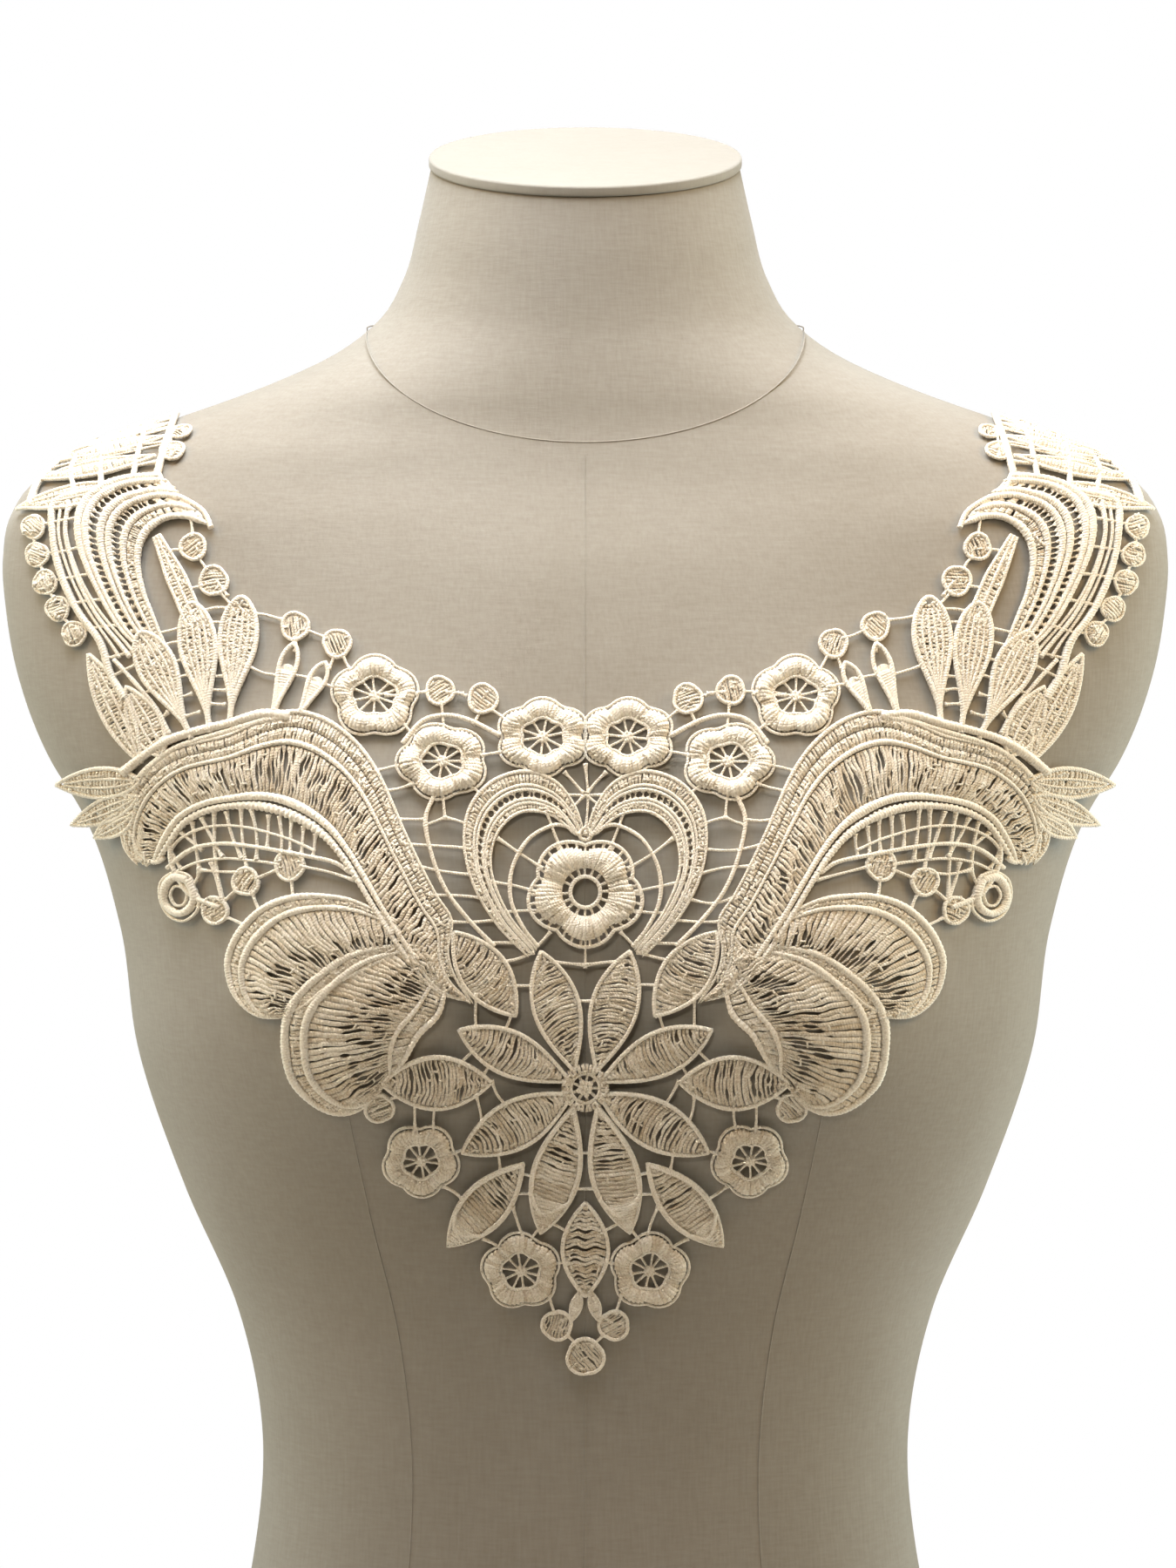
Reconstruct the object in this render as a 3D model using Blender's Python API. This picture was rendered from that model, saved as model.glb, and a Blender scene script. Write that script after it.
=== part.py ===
"""Guipure lace collar resting on a limbless dress form.

The form is a loft of rounded sections with a tilted neck cap.  The lace is charted flat, motif by
motif, in millimetres across from the centre front and up from the daisy's hub.  The chart is fused,
its gaps are left open, and the result is laid over the form as a closed wall with raised motifs.
"""
import math
from collections import namedtuple

import bmesh
import bpy
import numpy as np
from mathutils import Vector
from mathutils.geometry import delaunay_2d_cdt

MM = 0.001

# Driving sizes of the dress form, in millimetres.
NECK_TOP = 626.5
CAP_THICKNESS = 4.0
CAP_OVERHANG = 0.8
CAP_TILT_DEGREES = 13.0
TILT_START = 548.0
SEAM_GAP = 0.35
FORM_SEGMENTS = 44
BUST_ACROSS = 82.0
BUST_HEIGHT = 350.0
BUST_PROUD = 22.0
BUST_SPREAD = 52.0
BUST_SPREAD_BELOW = 52.0
BUST_SPREAD_ABOVE = 78.0
BUST_FADE = 2.0
CAP_ROUNDING = 0.9
BASE_RING_HEIGHTS = (0.0, 8.0)
HIP_RINGS = (32.0, 160.0, 26.0)
BODY_RINGS = (172.0, 500.0, 20.0)
SHOULDER_RINGS = (506.0, 562.0, 5.0)
NECK_RINGS = (566.0, 620.0, 11.0)
SHOULDER_POINT_HEIGHT = 493.0

# Driving sizes of the lace, in millimetres.
HUB_HEIGHT = 320.6
LACE_CLEARANCE = 0.9
LACE_THICKNESS = 1.3
BAR_WIDTH = 1.5
TURN_BELOW_RIDGE = 40.0
CLEAVAGE_BRIDGE = 0.2
HANG_BELOW_BUST = 1.1
SIDE_CAP = 0.88
SIDE_CAP_FADE = (470.0, 492.0)
SHOULDER_STEPS = 61
NORMAL_STEP = 0.8
FLOWER_LOBE = 0.14
EYE_POINTS = 8
PICOT_POINTS = 9
LEAF_BLUNTNESS = 0.8
LEAF_STATIONS = 6
WIDE_LEAF = 6.0
FILL_SPACING = 13.0
FILL_MARGIN = 3.2
CREST_MARGIN = 0.8
CREST_CLEARANCE = 5.2
SMALLEST_GAP = 6.0
STRAIGHT_WITHIN = 0.06
WELD_RADIUS = 0.9
WELD_POINTS = 6
WELD_ROUNDS = 8

# Heights of relief above the plain wall, in millimetres.
FLOWER_RELIEF = 1.5
LEAF_RELIEF = 0.9
PICOT_RELIEF = 0.6
FILL_RELIEF = 0.6

Section = namedtuple("Section", "height half_width front back power")
SECTIONS = (
    Section(0.0, 148.0, 97.0, 115.0, 2.30),
    Section(8.0, 150.0, 99.0, 117.0, 2.30),
    Section(60.0, 143.0, 97.0, 112.0, 2.30),
    Section(110.0, 124.0, 90.0, 98.0, 2.20),
    Section(150.0, 114.5, 85.0, 88.0, 2.20),
    Section(190.0, 111.5, 83.0, 83.0, 2.20),
    Section(235.0, 120.0, 86.0, 88.0, 2.20),
    Section(277.0, 138.0, 92.0, 96.0, 2.20),
    Section(325.0, 154.0, 97.0, 103.0, 2.25),
    Section(367.0, 160.0, 100.0, 107.0, 2.25),
    Section(406.0, 173.0, 99.0, 108.0, 2.20),
    Section(424.0, 184.0, 97.0, 107.0, 2.15),
    Section(451.0, 194.5, 91.0, 104.0, 2.10),
    Section(475.0, 199.0, 84.0, 99.0, 2.05),
    Section(493.0, 200.0, 78.0, 94.0, 2.00),
    Section(508.0, 197.0, 71.5, 88.0, 2.00),
    Section(519.0, 189.0, 67.0, 83.0, 1.90),
    Section(529.0, 172.0, 64.0, 79.0, 1.85),
    Section(538.0, 148.0, 62.0, 75.0, 1.80),
    Section(550.0, 114.0, 60.5, 69.0, 1.90),
    Section(562.0, 87.0, 59.0, 64.0, 2.00),
    Section(574.0, 71.0, 57.5, 60.0, 2.00),
    Section(588.0, 62.5, 56.5, 57.5, 2.00),
    Section(608.0, 57.0, 55.5, 55.5, 2.00),
    Section(NECK_TOP, 52.8, 54.0, 54.0, 2.00),
)

Flower = namedtuple("Flower", "across up width height lobes turn eye")
FLOWERS = (
    Flower(69.2, 127.6, 27.0, 25.0, 5, 0.3, 5.6),
    Flower(46.9, 106.7, 28.0, 23.0, 5, 1.2, 5.2),
    Flower(14.0, 114.6, 28.8, 23.6, 6, 0.5, 5.4),
    Flower(54.1, -24.3, 23.5, 23.5, 5, 0.9, 4.6),
    Flower(21.2, -62.1, 24.3, 24.3, 5, 0.2, 4.8),
)
HEART_FLOWER = Flower(0.0, 64.4, 36.0, 33.4, 6, 1.57, 4.3)

Leaf = namedtuple("Leaf", "base_across base_up tip_across tip_up width belly")
LEAVES = (
    Leaf(3.6, 5.0, 14.9, 45.5, 16.2, 0.55),
    Leaf(4.5, 2.0, 42.0, 20.0, 15.4, 0.55),
    Leaf(4.5, -2.0, 40.9, -21.7, 17.0, 0.52),
    Leaf(3.8, -5.0, 14.8, -49.5, 17.0, 0.55),
    Leaf(30.9, 2.3, 66.9, 2.3, 18.6, 0.50),
    Leaf(20.0, -24.9, 45.5, -54.1, 16.3, 0.52),
    Leaf(43.5, 52.0, 22.9, 24.0, 16.6, 0.50),
    Leaf(1.6, -68.5, 4.6, -79.5, 4.6, 0.50),
    Leaf(147.0, 99.0, 178.6, 96.5, 11.0, 0.45),
    Leaf(148.0, 94.0, 173.4, 82.5, 9.0, 0.45),
    Leaf(149.5, 88.0, 165.0, 78.5, 8.0, 0.45),
    Leaf(117.2, 117.6, 113.6, 160.0, 12.5, 0.68),
    Leaf(123.6, 114.8, 130.5, 158.0, 12.0, 0.68),
    Leaf(129.5, 112.8, 148.0, 148.0, 12.5, 0.68),
    Leaf(141.0, 106.6, 156.0, 130.5, 10.5, 0.45),
    Leaf(147.0, 104.6, 166.0, 141.0, 11.5, 0.50),
    Leaf(156.0, 199.0, 193.0, 190.5, 9.5, 0.45),
    Leaf(102.6, 121.5, 95.8, 144.5, 5.2, 0.70),
    Leaf(93.8, 121.5, 85.4, 138.2, 4.8, 0.70),
)
POINT_LEAF = Leaf(0.0, -38.4, 0.0, -71.0, 16.3, 0.50)

Picot = namedtuple("Picot", "across up radius")
PICOTS = (
    Picot(95.8, 150.4, 5.0),
    Picot(81.8, 144.8, 5.0),
    Picot(47.8, 129.6, 5.0),
    Picot(33.7, 127.0, 5.2),
    Picot(9.4, -80.7, 5.4),
    Picot(67.6, -6.2, 5.2),
    Picot(121.6, 56.9, 4.9),
    Picot(111.0, 66.9, 4.9),
    Picot(96.4, 72.6, 5.2),
    Picot(130.6, 176.4, 4.8),
    Picot(123.4, 165.2, 5.2),
    Picot(186.2, 183.4, 4.4),
    Picot(184.6, 173.8, 4.4),
    Picot(181.6, 164.4, 4.4),
    Picot(177.0, 155.6, 4.4),
    Picot(171.0, 147.4, 4.4),
    Picot(139.0, 214.0, 4.6),
    Picot(137.0, 225.0, 4.6),
)
TIP_PICOT = Picot(0.0, -91.4, 6.6)
HUB = Picot(0.0, 0.0, 8.0)
CLEFT_KNOT = Picot(0.0, 83.2, 2.6)

# Outlines of the large solid motifs, each as across and up.
HEART_BAND = (
    (0.6, 84.6), (3.6, 93.0), (9.6, 100.6), (19.7, 104.2), (31.0, 100.8), (38.6, 92.0),
    (40.3, 80.0), (37.2, 67.0), (29.5, 54.0), (19.0, 43.2), (16.0, 45.6), (25.0, 57.0),
    (30.2, 69.0), (30.4, 78.5), (26.6, 86.0), (20.0, 90.0), (11.0, 88.8), (3.2, 82.6),
)
SCROLL = (
    (149.0, 70.2), (154.2, 77.0), (154.6, 88.0), (151.0, 97.6), (144.6, 105.0), (136.4, 110.2),
    (126.4, 113.0), (117.4, 115.2), (106.0, 120.4), (96.2, 123.2), (87.6, 121.8), (80.1, 117.8),
    (73.0, 111.4), (67.2, 103.0), (62.6, 93.2), (58.6, 84.0), (54.1, 74.6), (48.6, 64.0),
    (43.6, 55.8), (45.0, 46.0), (43.0, 37.6), (37.0, 28.4), (50.0, 33.0), (60.0, 44.0),
    (68.0, 56.0), (74.0, 66.0), (80.0, 75.0), (87.0, 82.2), (97.0, 87.6), (109.0, 90.4),
    (121.6, 89.4), (131.2, 84.8), (137.0, 77.4), (142.0, 71.0),
)
UPPER_SHELL = (
    (60.0, 55.0), (74.4, 61.8), (84.0, 63.8), (93.8, 63.6), (102.6, 61.0), (109.6, 56.0),
    (115.4, 48.4), (118.0, 39.6), (115.4, 29.6), (107.8, 23.2), (98.0, 23.0), (84.0, 30.0),
    (58.0, 46.0),
)
LOWER_SHELL = (
    (54.0, 48.0), (78.7, 44.0), (92.0, 33.8), (98.2, 24.0), (99.2, 13.0), (96.8, 2.0),
    (90.0, -5.4), (81.6, -8.8), (73.4, -6.6), (67.0, 0.6), (58.6, 10.9), (53.8, 18.6),
    (43.2, 25.0), (32.0, 28.6), (43.2, 31.6),
)
WING_ARCH = (
    (143.0, 204.0), (157.0, 202.6), (166.8, 197.0), (171.4, 187.6), (170.0, 175.6), (163.6, 161.6),
    (154.6, 148.0), (144.0, 140.0), (138.6, 143.0), (142.4, 152.0), (146.8, 163.0), (148.2, 173.0),
    (145.4, 181.0), (139.2, 185.4), (131.6, 185.6), (124.6, 182.6), (127.6, 188.6), (134.6, 193.6),
    (140.0, 196.0),
)

# Cords that run free between motifs: width, then the points of the route.
Cord = namedtuple("Cord", "width route")
CORDS = (
    Cord(1.4, ((11.0, 86.0), (19.0, 81.4), (24.2, 72.0), (24.6, 62.0), (20.6, 53.0), (15.6, 46.6))),
    Cord(1.6, ((60.0, 112.4), (53.6, 119.6), (46.0, 121.6), (37.6, 119.8), (28.0, 115.0))),
    Cord(1.5, ((49.0, 97.0), (52.4, 88.0), (50.2, 76.0), (45.6, 65.0), (38.4, 55.6), (30.0, 47.0))),
    Cord(1.6, ((137.0, 80.0), (136.6, 71.4), (130.6, 62.0), (120.0, 58.0))),
    Cord(1.5, ((138.4, 70.0), (130.0, 76.6), (120.0, 79.0), (108.0, 78.4), (92.0, 76.0), (82.0, 74.0))),
    Cord(3.0, ((106.6, 122.8), (117.4, 118.4), (126.6, 116.2), (137.4, 112.8), (146.4, 107.4),
               (153.6, 101.6))),
    Cord(6.0, ((143.0, 180.0), (136.0, 166.0), (128.6, 150.0))),
    Cord(2.4, ((166.0, 197.0), (178.6, 192.6), (179.0, 180.0), (175.8, 167.0), (169.8, 155.0),
               (162.0, 145.0), (158.0, 134.0), (153.0, 126.0))),
    Cord(1.4, ((173.8, 193.0), (174.6, 181.0), (170.6, 167.0), (163.4, 154.0), (154.0, 143.0))),
    Cord(2.2, ((144.0, 202.0), (142.0, 214.0), (140.4, 228.0), (139.6, 244.0), (141.0, 262.0),
               (147.0, 274.0), (156.0, 278.0), (165.0, 274.0), (171.0, 262.0), (172.6, 246.0),
               (175.0, 230.0), (180.6, 214.0), (186.0, 202.0), (188.0, 192.0))),
    Cord(1.8, ((152.0, 202.0), (150.6, 216.0), (149.4, 232.0), (149.0, 248.0), (150.0, 264.0),
               (156.0, 277.0))),
    Cord(1.8, ((163.0, 199.0), (163.4, 214.0), (162.0, 230.0), (160.8, 246.0), (160.0, 262.0),
               (156.4, 277.0))),
    Cord(1.8, ((172.0, 196.0), (174.0, 208.0), (172.0, 220.0))),
)
LOOP = (
    (130.0, 68.0), (136.0, 68.6), (140.6, 63.6), (140.4, 57.4), (135.6, 53.6), (129.6, 55.6),
    (127.2, 61.4),
)
LOOP_GAP = ((131.2, 65.0), (135.6, 65.4), (137.8, 61.8), (136.4, 58.0), (132.2, 58.0), (130.2, 61.4))

# Straight bars of twisted thread, each from one chart point to another.
Bar = namedtuple("Bar", "across up to_across to_up")
BARS = (
    # Neckline flowers, picots and buds.
    Bar(55.0, 128.5, 66.0, 128.0), Bar(42.0, 128.8, 39.0, 127.9), Bar(40.0, 128.6, 46.0, 129.0),
    Bar(52.0, 129.2, 58.0, 128.6), Bar(31.0, 123.6, 25.0, 119.0), Bar(47.4, 126.0, 46.4, 116.0),
    Bar(34.6, 123.0, 37.0, 118.6), Bar(77.0, 136.0, 80.0, 141.4), Bar(85.0, 146.4, 93.0, 149.6),
    Bar(99.6, 152.4, 113.0, 155.0), Bar(95.8, 147.0, 95.8, 142.0), Bar(82.6, 141.4, 84.4, 136.4),
    Bar(79.0, 130.0, 86.0, 131.6), Bar(88.6, 133.0, 97.0, 134.6), Bar(99.0, 134.0, 112.6, 138.0),
    Bar(60.0, 119.0, 52.0, 112.0), Bar(58.0, 106.0, 69.0, 103.4), Bar(56.0, 99.6, 66.0, 97.0),
    Bar(34.6, 108.6, 26.0, 110.0), Bar(38.0, 99.0, 34.0, 96.0), Bar(47.0, 97.0, 46.0, 88.0),
    # Web between the heart and the scroll, and inside the heart.
    Bar(46.0, 88.6, 37.6, 86.0), Bar(46.0, 88.6, 53.0, 86.0), Bar(52.0, 88.0, 62.0, 88.0),
    Bar(37.0, 78.6, 59.0, 80.0), Bar(36.0, 70.0, 55.4, 73.0), Bar(33.0, 62.6, 50.6, 63.6),
    Bar(28.0, 55.6, 45.0, 55.0), Bar(22.0, 48.0, 36.0, 48.0), Bar(17.0, 45.0, 30.0, 42.0),
    Bar(14.0, 72.0, 29.0, 82.0), Bar(15.6, 64.4, 32.0, 68.0), Bar(14.6, 58.6, 29.0, 58.0),
    Bar(8.0, 78.0, 13.0, 91.0), Bar(11.6, 51.6, 17.0, 46.0), Bar(0.0, 83.0, 0.0, 106.0),
    Bar(-8.0, 96.0, 8.0, 96.0), Bar(0.0, 50.0, 0.0, 39.6), Bar(0.0, 40.6, 12.0, 42.0),
    # Daisy, its outer leaves, the lower flowers and the point.
    Bar(-4.0, 29.0, 4.0, 29.0), Bar(-4.0, -22.0, 4.0, -22.0), Bar(-4.0, -34.0, 4.0, -34.0),
    Bar(14.0, 34.0, 26.0, 34.0), Bar(24.0, 26.0, 28.0, 14.0), Bar(36.0, 32.0, 36.0, 18.0),
    Bar(36.0, 14.0, 42.0, 8.0), Bar(30.0, 12.0, 34.0, 4.0), Bar(31.0, 3.0, 26.0, -6.0),
    Bar(36.0, -2.0, 34.0, -12.0), Bar(15.0, -30.0, 24.0, -28.0), Bar(16.0, -36.0, 26.0, -36.0),
    Bar(29.0, -20.0, 28.0, -28.0), Bar(49.0, -2.0, 50.0, -16.0), Bar(56.0, -2.0, 56.0, -14.0),
    Bar(62.0, -2.0, 70.0, -7.0), Bar(38.0, -20.0, 44.0, -22.0), Bar(40.0, -38.0, 47.0, -33.0),
    Bar(24.0, -40.0, 20.0, -52.0), Bar(34.0, -51.0, 26.0, -56.0), Bar(14.0, -46.0, 19.0, -53.0),
    Bar(4.0, -50.0, 13.0, -45.0), Bar(5.0, -59.0, 12.0, -60.0), Bar(2.0, -68.0, 3.0, -72.0),
    Bar(12.0, -70.0, 10.0, -77.0), Bar(4.0, -77.0, 8.0, -79.0), Bar(6.0, -84.0, 2.0, -88.0),
    # Net under the arch of the scroll.
    Bar(129.6, 86.0, 127.0, 70.0), Bar(122.0, 90.0, 119.0, 60.0), Bar(113.0, 91.0, 110.6, 70.0),
    Bar(103.6, 89.0, 104.0, 76.0), Bar(96.0, 88.0, 96.4, 76.0), Bar(88.0, 83.0, 89.0, 75.0),
    Bar(127.0, 70.0, 130.0, 64.0), Bar(124.6, 57.4, 130.0, 58.4), Bar(119.0, 59.6, 113.6, 64.6),
    Bar(107.6, 68.0, 100.0, 71.4), Bar(93.0, 72.6, 80.0, 71.0), Bar(109.0, 64.0, 106.0, 57.0),
    Bar(96.0, 69.0, 95.0, 61.0), Bar(118.0, 55.0, 110.0, 52.0), Bar(127.0, 70.0, 112.0, 70.0),
    # Shoulder wing: hook, feathers, side net, and the strip over the shoulder.
    Bar(130.8, 179.6, 132.0, 187.0), Bar(134.0, 175.6, 141.0, 175.0), Bar(125.4, 168.6, 129.0, 173.4),
    Bar(127.0, 163.6, 135.0, 162.0), Bar(121.6, 161.6, 117.0, 157.0), Bar(118.0, 146.0, 126.0, 146.0),
    Bar(119.0, 134.0, 126.0, 134.0), Bar(132.0, 140.0, 140.0, 138.0), Bar(130.0, 128.0, 136.0, 126.0),
    Bar(133.0, 150.0, 146.0, 147.0), Bar(142.0, 130.0, 152.0, 124.0), Bar(138.0, 122.0, 144.0, 116.0),
    Bar(148.0, 138.0, 160.0, 132.0), Bar(151.0, 118.0, 155.0, 120.0), Bar(146.0, 112.0, 152.0, 112.0),
    Bar(169.0, 187.0, 186.0, 183.6), Bar(168.0, 177.0, 184.0, 174.0), Bar(164.6, 167.6, 181.0, 164.6),
    Bar(160.6, 159.0, 176.0, 155.8), Bar(155.0, 150.4, 170.0, 147.6), Bar(149.0, 142.0, 161.0, 139.0),
    Bar(186.2, 181.0, 184.8, 176.0), Bar(184.4, 171.6, 182.0, 166.8), Bar(181.0, 162.4, 177.6, 157.8),
    Bar(176.4, 153.4, 171.6, 149.6), Bar(143.0, 209.0, 183.0, 208.0), Bar(141.0, 218.6, 178.0, 219.0),
    Bar(140.0, 229.0, 175.0, 229.0), Bar(139.6, 239.4, 173.0, 239.4), Bar(140.0, 250.0, 172.6, 250.0),
    Bar(141.0, 261.0, 171.0, 261.0), Bar(147.0, 271.0, 167.0, 271.0), Bar(139.0, 210.6, 139.0, 228.0),
)

# Lines along which the lace is parted into pieces, each as across and up.
CENTRE_SEAM = (
    (88.8, 158.0), (88.8, 146.0), (83.0, 139.6), (82.6, 132.0), (84.4, 126.0), (81.6, 119.9),
    (78.4, 117.4), (72.0, 111.4), (66.2, 102.8), (61.6, 93.0), (57.6, 83.8), (53.1, 74.8),
    (47.6, 64.4), (43.0, 57.4), (43.6, 53.2), (44.2, 46.6), (42.0, 38.0), (36.6, 30.2),
    (30.0, 24.6), (33.0, 21.0), (44.0, 15.0), (52.0, 12.2), (58.0, 9.4), (64.0, 5.2),
    (68.0, 2.6), (63.6, -1.2), (61.0, -6.6), (61.0, -16.0),
)
WING_SEAM = (
    (103.4, 168.0), (104.4, 152.0), (105.0, 138.0), (106.0, 124.0), (106.2, 121.2), (117.8, 116.2),
    (126.8, 114.0), (137.0, 111.0), (145.4, 105.6), (151.6, 98.8), (160.0, 104.8),
)

# A point inside each piece, and the piece's name on the left and on the right.
Piece = namedtuple("Piece", "across up left right")
PIECES = (
    Piece(0.0, -5.0, "lace_centre", "lace_centre"),
    Piece(110.0, 105.0, "lace_scroll_left", "lace_scroll_right"),
    Piece(166.0, 182.0, "lace_wing_left", "lace_wing_right"),
)


def section_values(column, heights):
    """Values of one column of SECTIONS at the given heights, along smooth curves."""
    knots = np.array([row.height for row in SECTIONS])
    values = np.array([getattr(row, column) for row in SECTIONS])
    slopes = np.gradient(values, knots)
    heights = np.clip(np.asarray(heights, dtype=float), knots[0], knots[-1])
    index = np.clip(np.searchsorted(knots, heights) - 1, 0, len(knots) - 2)
    span = knots[index + 1] - knots[index]
    t = (heights - knots[index]) / span
    low, high = values[index], values[index + 1]
    return (
        low * (1 + 2 * t) * (1 - t) ** 2
        + high * t * t * (3 - 2 * t)
        + slopes[index] * span * t * (1 - t) ** 2
        - slopes[index + 1] * span * t * t * (1 - t)
    )


def bust(across, height, bridge=0.0, hang=1.0):
    """Depth that the bust adds in front; bridge fills the hollow between, hang lowers the underside."""
    side = np.exp(-((np.abs(across) - BUST_ACROSS) / BUST_SPREAD) ** 2)
    side = np.where(np.abs(across) < BUST_ACROSS, side + bridge * (1 - side), side)
    below = BUST_SPREAD_BELOW * hang
    spread = np.where(height < BUST_HEIGHT, below, BUST_SPREAD_ABOVE)
    return BUST_PROUD * side * np.exp(-((height - BUST_HEIGHT) / spread) ** 2)


def roundness(ratio, power, cap):
    """Depth of a section at a share of its half width, carried on straight past the cap."""
    inside = np.minimum(ratio, cap)
    depth = (1 - inside ** power) ** (1 / power)
    slope = inside ** (power - 1) * np.maximum(1 - inside ** power, 1e-9) ** (1 / power - 1)
    return np.where(ratio > cap, depth - slope * (ratio - cap), depth)


def front_of_form(across, height):
    """Y of the form's front surface."""
    half = section_values("half_width", height)
    ratio = np.minimum(np.abs(across) / half, 1.0)
    depth = roundness(ratio, section_values("power", height), 1.0)
    proud = bust(across, height) * np.minimum(1, BUST_FADE * depth)
    return -section_values("front", height) * depth - proud


def back_of_form(across, height):
    """Y of the form's back surface."""
    half = section_values("half_width", height)
    ratio = np.minimum(np.abs(across) / half, 1.0)
    return section_values("back", height) * roundness(ratio, section_values("power", height), 1.0)


def front_of_lace(across, height):
    """Y of the surface that the lace lies on: the form, bridged and carried on past its sides."""
    half = section_values("half_width", height)
    low, high = SIDE_CAP_FADE
    fade = np.clip((height - low) / (high - low), 0, 1)
    cap = SIDE_CAP + (1 - SIDE_CAP) * fade
    ratio = np.abs(across) / half
    ratio = np.where(fade >= 1, np.minimum(ratio, 1.0), ratio)
    depth = roundness(ratio, section_values("power", height), cap)
    proud = bust(across, height, CLEAVAGE_BRIDGE, HANG_BELOW_BUST)
    return -section_values("front", height) * depth - proud * np.clip(BUST_FADE * depth, 0, 1)


def ridge_height(across):
    """Height of the shoulder's ridge at a distance across."""
    heights = np.arange(SHOULDER_POINT_HEIGHT, NECK_TOP, 0.5)
    widths = section_values("half_width", heights)
    return float(np.interp(-abs(across), -widths, heights))


def over_shoulder(across, travel):
    """Point reached by going up the front at a fixed distance across, then over the ridge."""
    ridge = ridge_height(across)
    turn = ridge - TURN_BELOW_RIDGE
    if travel <= turn:
        return float(front_of_lace(across, travel)), travel
    angles = np.linspace(0, math.pi, SHOULDER_STEPS)
    heights = turn + (ridge - turn) * np.sin(angles)
    front = front_of_lace(across, heights)
    back = back_of_form(across, heights)
    share = (1 - np.cos(angles)) / 2
    depths = np.where(angles < math.pi / 2, front, back)
    at_ridge = SHOULDER_STEPS // 2
    depths[at_ridge] = (front * (1 - share) + back * share)[at_ridge]
    steps = np.hypot(np.diff(depths), np.diff(heights))
    run = np.concatenate(([0.0], np.cumsum(steps)))
    reach = travel - turn
    return float(np.interp(reach, run, depths)), float(np.interp(reach, run, heights))


def drape(across, up, lift):
    """World point of a chart point, lifted off the form along the surface's normal."""
    travel = up + HUB_HEIGHT
    step = NORMAL_STEP
    points = []
    for dx, dv in ((0, 0), (step, 0), (-step, 0), (0, step), (0, -step)):
        y, z = over_shoulder(across + dx, travel + dv)
        points.append(Vector((across + dx, y, z)))
    normal = (points[1] - points[2]).cross(points[3] - points[4]).normalized()
    return (points[0] + normal * lift) * MM


class Chart:
    """Flat chart of the lace: outlines of thread, outlines of gaps, and raised points."""

    def __init__(self):
        self.threads = []
        self.gaps = []
        self.raised = []

    def both(self, store, points, mirrored):
        """Keep an outline, and its mirror image unless it lies on the centre line."""
        points = [(float(point[0]), float(point[1])) for point in points]
        turns = sum(a[0] * b[1] - a[1] * b[0] for a, b in zip(points, points[1:] + points[:1]))
        if turns < 0:
            points.reverse()
        store.append(points)
        if mirrored:
            store.append([(-across, up) for across, up in reversed(points)])

    def thread(self, points, mirrored=True):
        """Add an outline filled with thread."""
        self.both(self.threads, points, mirrored)

    def gap(self, points, mirrored=True):
        """Add an outline that stays open."""
        self.both(self.gaps, points, mirrored)

    def crest(self, points, height, mirrored=True):
        """Add raised points."""
        for across, up in points:
            self.raised.append((across, up, height))
            if mirrored:
                self.raised.append((-across, up, height))


def oval(across, up, half_across, half_up, count, turn=0.0, lobes=0, depth=0.0):
    """Points round an oval, with lobes if asked."""
    points = []
    for index in range(count):
        angle = 2 * math.pi * index / count + turn
        swell = 1 + depth * (abs(math.cos(lobes * (angle - turn) / 2)) - 0.5) if lobes else 1.0
        points.append((across + half_across * swell * math.cos(angle),
                       up + half_up * swell * math.sin(angle)))
    return points


def chart_flower(chart, flower, mirrored=True):
    """A padded flower with an open eye."""
    half_across, half_up = flower.width / 2, flower.height / 2
    place = flower.across, flower.up
    chart.thread(oval(*place, half_across, half_up, 4 * flower.lobes, flower.turn,
                      flower.lobes, FLOWER_LOBE), mirrored)
    middle = (half_across + flower.eye) / 2, (half_up + flower.eye) / 2
    chart.crest(oval(*place, *middle, 2 * flower.lobes, flower.turn), FLOWER_RELIEF, mirrored)
    chart.gap(oval(*place, flower.eye, flower.eye, EYE_POINTS), mirrored)


def leaf_outline(leaf):
    """Outline and spine of a pointed leaf."""
    base = np.array((leaf.base_across, leaf.base_up))
    tip = np.array((leaf.tip_across, leaf.tip_up))
    along = tip - base
    side = np.array((-along[1], along[0])) / np.linalg.norm(along)
    power = math.log(0.5) / math.log(leaf.belly)
    left, right, spine = [], [], []
    for index in range(1, LEAF_STATIONS):
        share = index / LEAF_STATIONS
        half = leaf.width / 2 * math.sin(math.pi * share ** power) ** LEAF_BLUNTNESS
        middle = base + along * share
        left.append(middle + side * half)
        right.append(middle - side * half)
        spine.append(middle)
    return [base] + right + [tip] + left[::-1], spine


def chart_leaf(chart, leaf, mirrored=True):
    """A padded leaf, petal, feather or bud."""
    outline, spine = leaf_outline(leaf)
    chart.thread(outline, mirrored)
    if leaf.width > WIDE_LEAF:
        chart.crest(spine[1::2], LEAF_RELIEF, mirrored)


def chart_picot(chart, picot, mirrored=True):
    """A small round picot."""
    chart.thread(oval(picot.across, picot.up, picot.radius, picot.radius, PICOT_POINTS), mirrored)
    chart.crest([(picot.across, picot.up)], PICOT_RELIEF, mirrored)


def ribbon(route, width):
    """Outline of a strip of even width along a route."""
    route = np.array(route, dtype=float)
    tangents = np.gradient(route, axis=0)
    tangents /= np.linalg.norm(tangents, axis=1)[:, None]
    side = np.stack((-tangents[:, 1], tangents[:, 0]), axis=1) * width / 2
    return [tuple(point) for point in np.vstack((route - side, (route + side)[::-1]))]


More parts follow.
